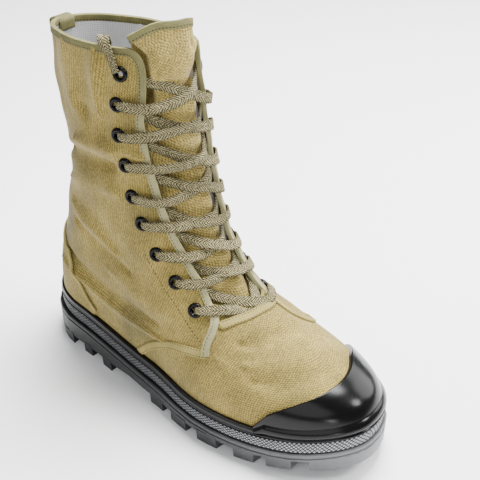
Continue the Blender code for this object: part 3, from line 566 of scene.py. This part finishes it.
# Folds of the canvas: around and ring of start, middle and end, half width in mm, height in mm
CREASES = (
    ((0.305, 10.98), (0.240, 11.25), (0.140, 11.50), 6.4, 3.6),
    ((0.430, 9.70), (0.290, 10.55), (0.190, 10.95), 6.2, -5.2),
    ((0.370, 9.10), (0.290, 9.90), (0.210, 10.20), 8.5, 2.4),
    ((0.270, 12.15), (0.225, 12.00), (0.180, 11.90), 9.0, -2.8),
    ((0.215, 13.90), (0.220, 13.10), (0.222, 12.20), 4.6, 2.6),
    ((0.194, 13.80), (0.196, 13.10), (0.198, 12.40), 5.5, -2.2),
    ((0.252, 13.80), (0.258, 12.90), (0.262, 11.90), 8.5, -1.8),
    ((0.310, 13.80), (0.300, 13.00), (0.290, 12.00), 9.0, 1.6),
    ((0.370, 13.60), (0.355, 12.70), (0.340, 11.70), 9.0, -1.4),
    ((0.360, 8.20), (0.309, 7.85), (0.260, 7.25), 7.0, 2.6),
    ((0.350, 7.35), (0.300, 7.05), (0.250, 6.50), 7.0, -2.4),
    ((0.405, 3.50), (0.320, 2.85), (0.240, 3.15), 3.6, 2.4),
    ((0.390, 4.30), (0.320, 3.70), (0.245, 4.05), 6.5, -2.6),
    ((0.300, 5.60), (0.250, 5.20), (0.200, 5.50), 7.5, 1.6),
    ((0.115, 5.50), (0.040, 6.00), (-0.050, 5.90), 6.0, -2.2),
    ((0.130, 4.60), (0.055, 5.15), (-0.040, 5.15), 7.0, 1.8),
    ((0.135, 3.80), (0.070, 4.30), (-0.010, 4.50), 6.5, -1.4),
    ((0.160, 3.00), (0.150, 3.80), (0.170, 4.30), 5.5, 0.9),
    ((0.590, 9.80), (0.680, 10.50), (0.800, 11.00), 5.5, -3.4),
    ((0.600, 10.70), (0.690, 11.10), (0.800, 11.40), 6.0, 2.6),
    ((0.620, 13.60), (0.640, 12.70), (0.655, 11.70), 8.0, 1.4),
    ((0.700, 13.70), (0.710, 12.80), (0.705, 11.90), 7.0, -1.4),
    ((0.620, 8.20), (0.690, 7.80), (0.760, 7.10), 7.0, 1.5),
    ((0.600, 3.50), (0.680, 2.90), (0.770, 3.20), 3.6, 1.6),
)


# Slight waves all over the shaft: height, and waves up it and along it
RIPPLE, RIPPLE_UP, RIPPLE_ALONG = 0.35 * MM, 190, 60
# The canvas lies flat round an eyelet: radius, and width of the change
EYELET_FLAT, EYELET_EASE = 5.5 * MM, 8 * MM


def relief(around, height, folds=CREASES):
    """Height of the folds over the last at places on it."""
    spots = on_last(around, height)
    waves = np.sin(spots[..., 2] * RIPPLE_UP + 3 * np.sin(spots[..., 1] * RIPPLE_ALONG))
    total = RIPPLE * waves * ease((height - 4) / 2)
    for start, middle, end, half, high in folds:
        line = smooth_rows(np.array([start, middle, end]), np.linspace(0, 2, 25))
        line = on_last(line[:, 0], line[:, 1])
        away = np.full(spots.shape[:-1], 1.0)
        for k in range(24):
            a, ab = line[k], line[k + 1] - line[k]
            t = np.clip(((spots - a) @ ab) / (ab @ ab), 0, 1)
            fade = 1 + 1.6 * np.abs((k + t) / 12 - 1) ** 3
            away = np.minimum(away, np.linalg.norm(spots - (a + t[..., None] * ab), axis=-1) * fade)
        total = total + high * MM * np.exp(-(away / (half * MM)) ** 2)
    if folds is CREASES:
        for column in (1, 2):
            for eyelet in on_last(EYELETS[:, column], EYELETS[:, 0]):
                total = total * ease((np.linalg.norm(spots - eyelet, axis=-1) - EYELET_FLAT) / EYELET_EASE)
    return total


# Round front corner of the collar: share of the way round, rings down, and the ring where it starts
CORNER, CORNER_FROM = (0.030, 0.40), 12


def topped(around, height):
    """Height lowered so that the collar's lateral front corner is round."""
    lateral = np.interp(height, THROAT[:, 0], THROAT[:, 1])
    share = np.clip((around - lateral) / CORNER[0], 0, 1)
    top = COLLAR - CORNER[1] * (1 - np.sqrt(1 - (1 - share) ** 2)) * (around < 0.5)
    lowered = CORNER_FROM + (height - CORNER_FROM) * (top - CORNER_FROM) / (COLLAR - CORNER_FROM)
    return np.where(height > CORNER_FROM, lowered, height)


def skin(around, height, depth=0.0):
    """Points on the canvas, folds and all, moved out by depth."""
    around, height = np.broadcast_arrays(np.asarray(around, float), np.asarray(height, float))
    return off_last(around, height, relief(around, height) + depth)


WALL = 2.0 * MM
# The canvas: cells round and up, share of the cells between the front and an edge of the throat, ring
# where the vamp ends under its tape, and radius of an eyelet's hole
CANVAS_CELLS = 300, 140
FOOT_SHARE = 0.09
CANVAS_FOOT = 7.0
CANVAS_HOLE = 2.6 * MM


def round_the_boot(s, height):
    """Share of the way round at a share of the upper's grid: its columns follow the throat's edges."""
    lateral = np.interp(height, THROAT[:, 0], THROAT[:, 1])
    medial = np.interp(height, THROAT[:, 0], THROAT[:, 2])
    f = FOOT_SHARE
    return np.select(
        [s < f, s < 0.5, s < 1 - f],
        [lateral * s / f, lateral + (0.5 - lateral) * (s - f) / (0.5 - f),
         0.5 + (medial - 0.5) * (s - 0.5) / (0.5 - f)],
        medial + (1 - medial) * (s - 1 + f) / f)


def make_upper():
    across, along = CANVAS_CELLS
    s, t = lattice(across, along)
    height = t * COLLAR
    around = round_the_boot(s, height)
    height = topped(around, height)
    points = skin(around, height)
    flat = on_last(around, height)
    cloth = np.stack([arcs(flat, 0, across // 2), arcs(flat, 1)], -1)
    shape = sheet_shape(points, cloth, outward(around, height))
    f = round(FOOT_SHARE * across)
    foot = round(CANVAS_FOOT / COLLAR * along)
    column, row = shape.verts.layers.int["column"], shape.verts.layers.int["row"]
    holes = np.concatenate([skin(EYELETS[:, k], EYELETS[:, 0]) for k in (1, 2)])
    gone = []
    for face in shape.faces:
        i = sum(vert[column] for vert in face.verts) / 4
        j = sum(vert[row] for vert in face.verts) / 4
        centre = np.array(face.calc_center_median())
        in_throat = j > foot and (i < f or i > across - f)
        if in_throat or min(np.linalg.norm(holes - centre, axis=1)) < CANVAS_HOLE:
            gone.append(face)
    bmesh.ops.delete(shape, geom=gone, context="FACES")
    bmesh.ops.remove_doubles(shape, verts=shape.verts, dist=1e-6)
    finished("canvas_upper", shape, CANVAS, LINING, replaced=("upper",), wall=WALL)


TAPE_THICK, TAPE_WIDTH = 0.9 * MM, 6.2 * MM


def edge_binding(name, line, replaced, reach, at, step, back=WALL, thick=0.8 * MM):
    """Tape wrapped over a cut edge of the canvas. At one place of the line, a step round the boot goes
    from the edge onto the canvas."""
    points = skin(*line.T)
    sides, ups = directions(points, outward(line[:, 0], line[:, 1]))
    onto = on_last(line[at, 0] + step, line[at, 1]) - on_last(*line[at])
    if np.sum(sides[at] * onto) < 0:
        sides = -sides
    section = rounded(-0.8 * MM, reach, -back - 0.5 * MM, thick, 0.6 * MM)
    swept(name, points, sides, ups, section, COLLAR_BINDING, replaced)


def throat_line(column):
    """Places up one edge of the throat."""
    heights = np.linspace(THROAT_FOOT + 0.1, COLLAR, 110)
    around = np.interp(heights, THROAT[:, 0], THROAT[:, column])
    return np.stack([around, topped(around, heights)], -1)


def make_edges():
    lateral, medial = THROAT[-1, 1], THROAT[-1, 2]
    corner = lateral + CORNER[0] * (1 - np.cos(np.linspace(0, math.pi / 2, 16)[1:-1]))
    around = np.concatenate([corner, np.linspace(lateral + CORNER[0], medial, 180)])
    rim = np.stack([around, topped(around, np.full_like(around, COLLAR))], -1)
    line = np.concatenate([throat_line(1), rim])
    edge_binding("collar_binding", line, ("collar_tape", "throat_tape_lateral"), 4.4 * MM, 50, 0.01)
    edge_binding("throat_binding_medial", throat_line(2), ("throat_tape_medial",), 5 * MM, 50, -0.01)


def sewn_tape(name, table, width, replaced, lift=0.3 * MM):
    """A flat tape along places on the canvas."""
    line = smooth_line(table, 2 * MM)
    points = skin(line[:, 0], line[:, 1], lift)
    sides, ups = directions(points, outward(line[:, 0], line[:, 1]))
    section = rounded(-width / 2, width / 2, -0.6 * MM, TAPE_THICK, 0.45 * MM)
    swept(name, points, sides, ups, section, BINDING, replaced)


# Tapes on the canvas: share of the way round and ring
QUARTER_FRONT = ((0.103, 7.00), (0.106, 6.66), (0.121, 6.27), (0.139, 5.81), (0.161, 5.16), (0.174, 4.60),
                 (0.179, 4.22))
QUARTER_LOW = ((0.179, 4.30), (0.190, 4.10), (0.203, 3.90), (0.216, 3.64), (0.231, 3.30), (0.246, 2.76),
               (0.262, 2.05), (0.279, 1.00))
MEDIAL_QUARTER = ((-0.062, 6.85), (-0.075, 6.45), (-0.092, 5.8), (-0.118, 4.9), (-0.148, 4.2), (-0.178, 3.5),
                  (-0.206, 2.4), (-0.222, 1.0))
VAMP_TAPE = ((0.128, 5.98), (0.119, 6.15), (0.088, 6.45), (0.058, 6.62), (0.028, 6.72), (-0.003, 6.74),
             (-0.055, 6.62))
FACING_SEAM = ((0.183, 8.30), (0.178, 7.71), (0.174, 7.33), (0.175, 6.77), (0.179, 6.27), (0.185, 5.35),
               (0.180, 4.70))


def make_tapes():
    edge_binding("quarter_front_tape", smooth_line(QUARTER_FRONT, 1.5 * MM), ("quarter_tape_lateral",),
                 5.2 * MM, 10, 0.01, back=0.3 * MM, thick=1.5 * MM)
    sewn_tape("quarter_low_tape", QUARTER_LOW, TAPE_WIDTH, ("quarter_tape_lateral",))
    sewn_tape("quarter_medial_tape", MEDIAL_QUARTER, TAPE_WIDTH, ("quarter_tape_medial",))
    sewn_tape("vamp_throat_tape", VAMP_TAPE, TAPE_WIDTH, ("vamp_tape",))
    stitches("facing_stitches", FACING_SEAM)


def stitches(name, table, spacing=2.9 * MM, length=0.95 * MM, thick=0.34 * MM):
    """A row of sunk lockstitches along places on the canvas."""
    line = smooth_line(table, spacing)
    points = skin(*line.T)
    sides, ups = directions(points, outward(line[:, 0], line[:, 1]))
    shape = bmesh.new()
    for point, side, up in zip(points, sides, ups):
        placing = placed(np.cross(up, side) * length, side * thick, up * thick * 0.6, point + up * 0.15 * MM)
        bmesh.ops.create_icosphere(shape, subdivisions=1, radius=1.0, matrix=placing)
    finished(name, shape, THREAD)


COUNTER_EDGE = ((0.341, 1.32), (0.348, 1.6), (0.357, 2.1), (0.373, 3.2), (0.390, 4.1), (0.423, 4.7), (0.5, 4.9))
COUNTER_FOOT = 1.02
OVERLAY = 1.35 * MM


def make_counter():
    table = np.array(COUNTER_EDGE)
    half = np.linspace(table[0][0], 0.5, 41)
    edge = np.interp(half, table[:, 0], table[:, 1])
    around = np.concatenate([half, 1 - half[-2::-1]])
    edge = np.concatenate([edge, edge[-2::-1]])
    rows = 40
    t = np.linspace(0, 1, rows + 1)
    a = np.repeat(around[:, None], rows + 1, 1)
    h = COUNTER_FOOT + (edge[:, None] - COUNTER_FOOT) * t
    depth = np.full(a.shape, OVERLAY)
    depth[:, -1] = depth[0] = depth[-1] = -0.3 * MM
    shape = sheet_shape(skin(a, h, depth), None, outward(a, h))
    finished("heel_panel", shape, CANVAS, replaced=("heel_counter",))
    line = np.stack([around, edge], -1)[::4]
    sewn_tape("heel_panel_tape", line, 5 * MM, ("heel_counter",), lift=1.2 * MM)


CAP_EDGE = ((-0.152, 1.66), (-0.137, 2.30), (-0.110, 3.10), (-0.078, 3.72), (-0.040, 3.90), (0.0, 3.88),
            (0.035, 3.72), (0.078, 3.23), (0.106, 2.72), (0.130, 2.08), (0.1425, 1.50), (0.1505, 1.08))
# Cap's foot: ring and depth in mm of the double rib and the groove over it
CAP_PROFILE = ((0.80, 0.2), (0.81, 3.9), (0.82, 4.2), (0.86, 4.4), (0.90, 4.2), (0.92, 3.6), (0.94, 3.2),
               (0.96, 3.3), (1.00, 4.2), (1.08, 4.8), (1.18, 4.9), (1.30, 4.3), (1.46, 3.3))
CAP_LOW, CAP_FOOT = CAP_PROFILE[0][0], CAP_PROFILE[-1][0]
# Cap in mm off the last: its face, its rounded margin at the side and at the top, and its sunk edge
CAP_FACE, CAP_SIDE, CAP_TOP, CAP_SUNK = 2.7, 2.2, 2.0, -0.2


def make_cap():
    table = np.array(CAP_EDGE)
    edge = smooth_rows(table, np.linspace(0, len(table) - 1, 101))
    profile = np.array(CAP_PROFILE)
    rows = 60
    t = np.linspace(0, 1, rows + 1)[1:]
    low = np.repeat(profile[None, :, 0], len(edge), 0)
    top = np.maximum(edge[:, 1:], 1.0)
    low = CAP_LOW + (low - CAP_LOW) * np.minimum(1, (top - CAP_LOW) / (CAP_FOOT + 0.3 - CAP_LOW))
    high = low[:, -1:] + (top - low[:, -1:]) * t
    h = np.concatenate([low, high], 1)
    a = np.repeat(edge[:, :1], h.shape[1], 1)
    lift = np.concatenate([np.repeat(profile[None, :, 1], len(edge), 0), np.full(high.shape, CAP_FACE)], 1)
    lift[:, -1] = CAP_SUNK
    lift[:, -2] = CAP_TOP
    lift[0] = lift[-1] = CAP_SUNK
    lift[1], lift[-2] = np.minimum(lift[1], CAP_SIDE), np.minimum(lift[-2], CAP_SIDE)
    finished("toe_cap_rubber", sheet_shape(off_last(a, h, lift * MM), None, outward(a, h)), CAP_RUBBER,
             replaced=("toe_cap",))


# Side of the foxing: share of its height and depth in mm
FOXING_FACE = ((0, 0.4), (0.0, 3.2), (0.02, 3.5), (0.05, 3.5), (0.07, 3.0), (0.09, 3.0), (0.11, 3.9),
               (0.64, 3.9), (0.66, 3.1), (0.69, 3.1), (0.72, 3.6), (0.77, 3.6), (0.80, 3.3), (0.92, 3.3),
               (0.98, 3.0), (1.0, 2.2), (1.01, 0.2))
# Knurled part of the band, as shares of its height, and the tops of the knurl and of the ribs over it
KNURL_BAND, KNURL_TOP, RIBS_TOP = (0.105, 0.645), 0.64, 0.92
# How much taller the knurl is round the toe, how far round that goes and how slowly it ends
TOE_TALLER, TOE_END, TOE_EASE = 0.13, 0.17, 0.06


def make_foxing():
    """The band round the boot. Its knurl grows taller round the toe."""
    count = 420
    face = np.array(FOXING_FACE)
    places = np.linspace(0, len(face) - 1, 3 * (len(face) - 1) + 1)
    profile = np.stack([np.interp(places, np.arange(len(face)), face[:, k]) for k in (0, 1)], -1)
    around = np.arange(count + 1) / count
    a = np.repeat(around[:, None], len(profile), 1)
    h = np.repeat(profile[None, :, 0], count + 1, 0)
    toe = TOE_TALLER * ease((TOE_END - np.minimum(a, 1 - a)) / TOE_EASE)
    h = np.where(h < KNURL_TOP, h * (KNURL_TOP + toe) / KNURL_TOP,
                 np.where(h < RIBS_TOP, h + toe * (RIBS_TOP - h) / (RIBS_TOP - KNURL_TOP), h))
    points = off_last(a, np.maximum(h, 0), profile[None, :, 1] * MM + 0 * a)
    rows = arcs(points, 1)[0]
    cloth = np.stack([arcs(points, 0), np.broadcast_to(rows, a.shape)], -1)
    shape = sheet_shape(points, cloth, outward(a, h))
    bmesh.ops.remove_doubles(shape, verts=shape.verts, dist=1e-6)
    layer = shape.loops.layers.uv["cloth"]
    low, high = [float(np.interp(share, profile[:, 0], rows)) for share in KNURL_BAND]
    for face in shape.faces:
        middle = sum(loop[layer].uv.y for loop in face.loops) / len(face.loops)
        face.material_index = 1 if low < middle < high else 0
    finished("foxing_band", shape, BAND_RUBBER, KNURL_RUBBER, replaced=("foxing",))


def make_tread():
    """The outsole's own solid with its moulded edges eased."""
    solid = bpy.data.objects["outsole"]
    shape = bmesh.new()
    shape.from_mesh(solid.data)
    shape.transform(solid.matrix_world)
    bmesh.ops.remove_doubles(shape, verts=shape.verts, dist=1e-5)
    bmesh.ops.dissolve_limit(shape, angle_limit=math.radians(1.5), verts=shape.verts, edges=shape.edges)
    sharp = [edge for edge in shape.edges
             if len(edge.link_faces) == 2 and edge.calc_face_angle(0) > math.radians(35)]
    bmesh.ops.bevel(shape, geom=sharp, offset=0.55 * MM, offset_type="OFFSET", segments=2, profile=0.5,
                    affect="EDGES", clamp_overlap=True)
    bmesh.ops.remove_doubles(shape, verts=shape.verts, dist=1e-6)
    bmesh.ops.recalc_face_normals(shape, faces=shape.faces)
    for face in shape.faces:
        face.smooth = True
    for edge in shape.edges:
        edge.smooth = len(edge.link_faces) == 2 and edge.calc_face_angle(0) < math.radians(24)
    finished("tread", shape, SOLE_RUBBER, replaced=("outsole",), smooth=False)


# Tongue's upper edge: share of the way round and ring
TONGUE_TOP = ((-0.150, 14.05), (-0.090, 14.32), (-0.030, 14.48), (0.030, 14.50), (0.090, 14.48),
              (0.158, 14.15))
# Ring and share of the way round of the fold where the tongue's outer margin turns in
TONGUE_FOLD = np.array([
    (12.4, 0.125), (12.8, 0.102), (13.0, 0.097), (13.24, 0.098), (13.39, 0.103), (13.63, 0.104),
    (13.87, 0.104), (14.13, 0.130), (14.3, 0.145), (14.6, 0.165)])
# Creases of the tongue, as those of the canvas
TONGUE_CREASES = (
    ((0.045, 13.10), (-0.020, 13.30), (-0.070, 13.72), 4.6, -6.0),
    ((0.080, 13.50), (0.010, 13.68), (-0.050, 14.02), 5.5, 2.8),
    ((-0.010, 14.10), (-0.025, 13.90), (-0.030, 13.65), 2.5, -1.2),
    ((0.030, 12.35), (-0.010, 12.40), (-0.060, 12.55), 3.4, -2.6),
    ((0.050, 11.20), (0.000, 11.30), (-0.050, 11.30), 3.0, -1.6),
)
TONGUE_FOOT = 5.9
TONGUE = 1.6 * MM
# Tongue: depth under the canvas, how far its outer margin turns in, how full its top stands and how far
# its inner top lies back
TONGUE_DEPTH, TURNED_IN, TONGUE_FULL, TONGUE_BACK = 5.4 * MM, 16 * MM, 3.6 * MM, 9 * MM
# Its puffs at the rows of eyelets: height in mm, half height in rings and half width round the boot
PUFF, PUFF_HIGH, PUFF_WIDE = 3.0, 0.26, 0.048


def tongue_depth(around, height):
    """Depth of the tongue's face against the last."""
    lifted = 0.35 * (1 - ease(height - TONGUE_FOOT)) + 0.5 * ease(height - COLLAR + 0.5)
    puff = 0.0
    for row in EYELETS[1:, 0]:
        puff = puff + np.exp(-((height - row) / PUFF_HIGH) ** 2 - ((around - 0.005) / PUFF_WIDE) ** 2)
    puffed = (PUFF * puff - 1.4) * MM * ease((14.2 - height) * 2)
    fold = np.interp(height, TONGUE_FOLD[:, 0], TONGUE_FOLD[:, 1])
    turned_in = TURNED_IN * ease((around - fold) / 0.013) * ease((height - 12.4) / 0.5)
    full = TONGUE_FULL * ease((height - 12.75) / 0.5) * ease((around + 0.075) / 0.05)
    back = TONGUE_BACK * ease((-0.075 - around) / 0.05) * ease((height - 13) / 0.6)
    return -TONGUE_DEPTH * (1 - lifted) + puffed - turned_in - back + full


def make_tongue():
    table = np.array(TONGUE_TOP)
    edge = smooth_rows(table, np.linspace(0, len(table) - 1, 91))
    t = np.linspace(0, 1, 151)
    a = np.repeat(edge[:, :1], len(t), 1)
    h = TONGUE_FOOT + (edge[:, 1:] - TONGUE_FOOT) * t
    depth = tongue_depth(a, h) + relief(a, h, TONGUE_CREASES)
    points = off_last(a, h, depth)
    shape = sheet_shape(points, None, outward(a, h))
    finished("tongue_cloth", shape, TONGUE_CANVAS, replaced=("tongue",), wall=TONGUE)
    outs = outward(edge[:, 0], edge[:, 1])
    rim = points[:, -1]
    sides, ups = directions(rim, outs)
    if sides[45][2] > 0:
        sides = -sides
    section = rounded(-0.8 * MM, 4.6 * MM, -TONGUE - 0.6 * MM, 0.8 * MM, 0.6 * MM)
    swept("tongue_binding", rim, sides, ups, section, COLLAR_BINDING, ("tongue",))


EYELET_BORE, EYELET_OUTER, EYELET_ROLL = 2.3 * MM, 5.4 * MM, 1.3 * MM
EYELET_SEAT = 0.65 * MM


def make_eyelets():
    middle = (EYELET_BORE + EYELET_OUTER) / 2
    half = (EYELET_OUTER - EYELET_BORE) / 2
    # An eyelet's section, as radius and height: barrel, roll and outer edge
    ring = [(EYELET_BORE, -WALL - 0.3 * MM)]
    for i in range(9):
        angle = math.pi * (1 - i / 8)
        high = EYELET_SEAT - 0.5 * MM + (EYELET_ROLL + 0.35 * MM) * math.sin(angle)
        ring.append((middle + half * math.cos(angle), high))
    ring.append((EYELET_OUTER - 0.4 * MM, -0.3 * MM))
    for column, side in ((1, "lateral"), (2, "medial")):
        for number, row in enumerate(EYELETS, 1):
            place = row[column], row[0]
            out = outward(*place)
            across = unit(np.cross(on_last(place[0], place[1] + 0.05) - on_last(*place), out))
            shape = bmesh.new()
            verts = [shape.verts.new((r, 0, z)) for r, z in ring]
            edges = [shape.edges.new(pair) for pair in zip(verts, verts[1:])]
            bmesh.ops.spin(shape, geom=verts + edges, cent=(0, 0, 0), axis=(0, 0, 1), angle=math.tau, steps=28,
                           use_merge=True)
            bmesh.ops.remove_doubles(shape, verts=shape.verts, dist=1e-6)
            bmesh.ops.recalc_face_normals(shape, faces=shape.faces)
            placing = placed(across, np.cross(out, across), out, skin(*place))
            bmesh.ops.transform(shape, matrix=placing, verts=shape.verts)
            finished(f"eyelet_ring_{side}_{number}", shape, EYELET_BLACK, replaced=(f"eyelet_{side}_{number}",))


# Depth of a strand under the flaps, at a crossing on top and at one below, its sag in rings and its twist
LACE_IN, LACE_OVER, LACE_UNDER, LACE_SAG, LACE_TWIST = 3.3 * MM, 0.6 * MM, -1.2 * MM, 0.07, 0.30
LACE_SECTION = rounded(-LACE_WIDTH / 2, LACE_WIDTH / 2, -LACE / 2, LACE / 2, 0.62 * MM)
# Rows of the lacing where the strand from the lateral eyelet lies on top at the crossing
LATERAL_ON_TOP = (1, 2, 3)
# Bottom bar: its ends round the boot, its ring and how far it bows up
BAR_ENDS, BAR_AT, BAR_BOW = (0.110, -0.085), 6.66, 0.22


def strand(name, row, first, second, on_top, slack=0.0):
    """From up through one eyelet, over its edge, across and under the other edge to the next one up.
    slack lifts it off the first edge as a loose loop."""
    start, stop = EYELETS[row], EYELETS[row - 1]
    begin, end = [place - (1 if place > 0.5 else 0) for place in (start[first], stop[second])]
    top = EYELET_SEAT + EYELET_ROLL + 0.25 * MM + LACE / 2
    cross = LACE_OVER if on_top else LACE_UNDER

    def at(share, depth):
        sag = LACE_SAG * math.sin(2.4 * row + first + 5.5 * share) * ease(share * 5) * ease((1 - share) * 4)
        return begin + (end - begin) * share, start[0] + (stop[0] - start[0]) * share + sag, depth

    table = [at(0.0, -3.4 * MM), at(0.0, -0.6 * MM), at(0.012, 1.6 * MM), at(0.06, top + 0.3 * slack),
             at(0.14, top + 0.2 * MM + slack), at(0.24, top + slack),
             at(0.34, 0.4 * cross + 0.5 * MM + 0.4 * slack), at(0.43, cross), at(0.57, cross),
             at(0.70, -LACE_IN), at(0.90, -LACE_IN - 0.4 * MM), at(0.99, -LACE_IN)]
    line = smooth_line(table, 1.5 * MM)
    points = off_last(*line.T)
    flat = on_last(line[:, 0], line[:, 1])
    heading = flat[-1] - flat[0]
    run = np.gradient(flat, axis=0)
    # A little of the whole heading keeps the sides steady where the strand goes down its eyelet
    run = run + 0.02 * heading / np.linalg.norm(heading) * np.linalg.norm(run, axis=1).max()
    sides, ups = square_to(points, np.cross(run, outward(line[:, 0], line[:, 1])))
    gone = np.linalg.norm(points - points[0], axis=1)
    twist = LACE_TWIST * np.sin(1.7 * row + 2.1 * first + gone / (9 * MM))
    twist = (twist * ease((gone - 10 * MM) / (8 * MM)))[:, None]
    sides, ups = sides * np.cos(twist) + ups * np.sin(twist), ups * np.cos(twist) - sides * np.sin(twist)
    widths = 0.62 + 0.38 * ease((gone - 3.5 * MM) / (7 * MM))
    swept(name, points, sides, ups, LACE_SECTION, LACE_CLOTH, (f"lace_crossing_{row}",), widths)


def make_laces():
    for row in range(1, len(EYELETS)):
        on_top = row in LATERAL_ON_TOP
        strand(f"lace_{row}_from_lateral", row, 1, 2, on_top)
        strand(f"lace_{row}_from_medial", row, 2, 1, not on_top, 1.2 * MM if row == 1 else 0.0)
    share = np.linspace(0, 1, 40)
    around = BAR_ENDS[0] + (BAR_ENDS[1] - BAR_ENDS[0]) * share
    height = BAR_AT + BAR_BOW * (1 - (share * 2 - 1) ** 2)
    points = off_last(around, height, -LACE_IN + 0 * share)
    sides, ups = directions(points, outward(around, height))
    swept("lace_low_bar", points, sides, ups, LACE_SECTION, LACE_CLOTH, ("lace_bar",))


# Loop at the heel: ring and depth along it
LOOP_PATH = ((12.50, 0.0014), (12.75, 0.0024), (13.10, 0.0046), (13.50, 0.0072), (13.80, 0.0078),
             (13.98, 0.0048), (14.05, 0.0004), (13.98, -0.0036), (13.80, -0.0042), (13.45, -0.0044))
LOOP_WIDTH, LOOP = 13 * MM, 1.2 * MM


def make_loop():
    line = smooth_line(np.array([(0.5, h, d) for h, d in LOOP_PATH]), 1.5 * MM)
    points = off_last(*line.T)
    sides = np.repeat(np.array([[1.0, 0, 0]]), len(points), 0)
    ups = np.cross(sides, unit(np.gradient(points, axis=0)))
    section = rounded(-LOOP_WIDTH / 2, LOOP_WIDTH / 2, -LOOP / 2, LOOP / 2, 0.6 * MM)
    swept("heel_loop", points, sides, ups, section, WEBBING, ("pull_loop",))


# Free end of the lace: share of the way round, ring and depth, as its solid runs
LACE_END = ((0.166, 13.50, 0.0038), (0.172, 13.80, 0.0040), (0.182, 14.10, 0.0036), (0.190, 14.24, 0.0),
            (0.196, 14.10, -0.0052), (0.202, 13.75, -0.0068), (0.212, 13.20, -0.0080), (0.222, 12.55, -0.0090))


def make_lace_end():
    count = 57
    line = smooth_rows(np.array(LACE_END), np.linspace(0, len(LACE_END) - 1, count))
    points = off_last(*line.T)
    sides, ups = square_to(points, np.cross(outward(line[:, 0], line[:, 1]), np.array([0.0, 0.0, 1.0])))
    widths = 0.7 + 0.38 * ease((np.arange(count) - 4) / 16)
    end = swept("lace_free_end", points, sides, ups, LACE_SECTION, LACE_CLOTH, ("lace_end",), widths)


def make_camera():
    """Camera of the photograph: place, aim, roll and lens solved from the boot's own points."""
    turn, lift, roll = [math.radians(v) for v in (-46.058, 33.449, -0.584)]
    back = Vector((math.sin(turn) * math.cos(lift), -math.cos(turn) * math.cos(lift), math.sin(lift)))
    right = Vector((math.cos(turn), math.sin(turn), 0))
    up = back.cross(right)
    side = right * math.cos(roll) + up * math.sin(roll)
    top = up * math.cos(roll) - right * math.sin(roll)
    data = bpy.data.cameras.new("camera")
    data.lens, data.sensor_width = 73.63, 36
    camera = linked("camera", data)
    camera.matrix_world = placed(side, top, back, (-0.392084 + SHIFT, -0.417328, 0.506203))
    bpy.context.scene.camera = camera


def make_stage():
    floor = bpy.data.meshes.new("floor")
    shape = bmesh.new()
    bmesh.ops.create_grid(shape, x_segments=1, y_segments=1, size=6)
    shape.to_mesh(floor)
    shape.free()
    paper, shader = new_material("pale_paper")
    shader.inputs["Base Color"].default_value = srgb("#FAFAFA")
    shader.inputs["Roughness"].default_value = 0.9
    floor.materials.append(paper)
    ground = linked("floor", floor)
    world = bpy.data.worlds.new("studio")
    world.use_nodes = True
    sky = world.node_tree.nodes["Background"].inputs
    sky["Color"].default_value = srgb("#F4F6FA")
    sky["Strength"].default_value = 0.5
    bpy.context.scene.world = world
    # name, place, size and power of each lamp
    for name, place, size, power in (
            ("top_lamp", (0.35, 0.10, 1.30), 0.7, 72), ("front_lamp", (0.54, -0.85, 1.13), 0.46, 15),
            ("side_lamp", (1.0, -0.3, 0.6), 0.8, 12), ("left_lamp", (-1.2, -0.5, 0.9), 1.2, 8),
            ("low_lamp", (-1.0, -1.1, 0.16), 0.2, 2.0)):
        data = bpy.data.lights.new(name, "AREA")
        data.shape, data.size, data.energy = "DISK", size, power
        lamp = linked(name, data)
        lamp.location = place
        aim = Vector((0, 0, 0.1)) - Vector(place)
        lamp.rotation_euler = aim.to_track_quat("-Z", "Y").to_euler()


def dress(node_name, finish):
    """A better finish for a solid whose shape is right."""
    for slot in bpy.data.objects[node_name].material_slots:
        slot.material = finish


make_camera()
make_lace_end()
make_upper()
make_edges()
make_tapes()
make_counter()
make_cap()
make_foxing()
make_tread()
make_tongue()
make_eyelets()
make_laces()
make_loop()
dress("insole", INSOLE_BOARD)
make_stage()
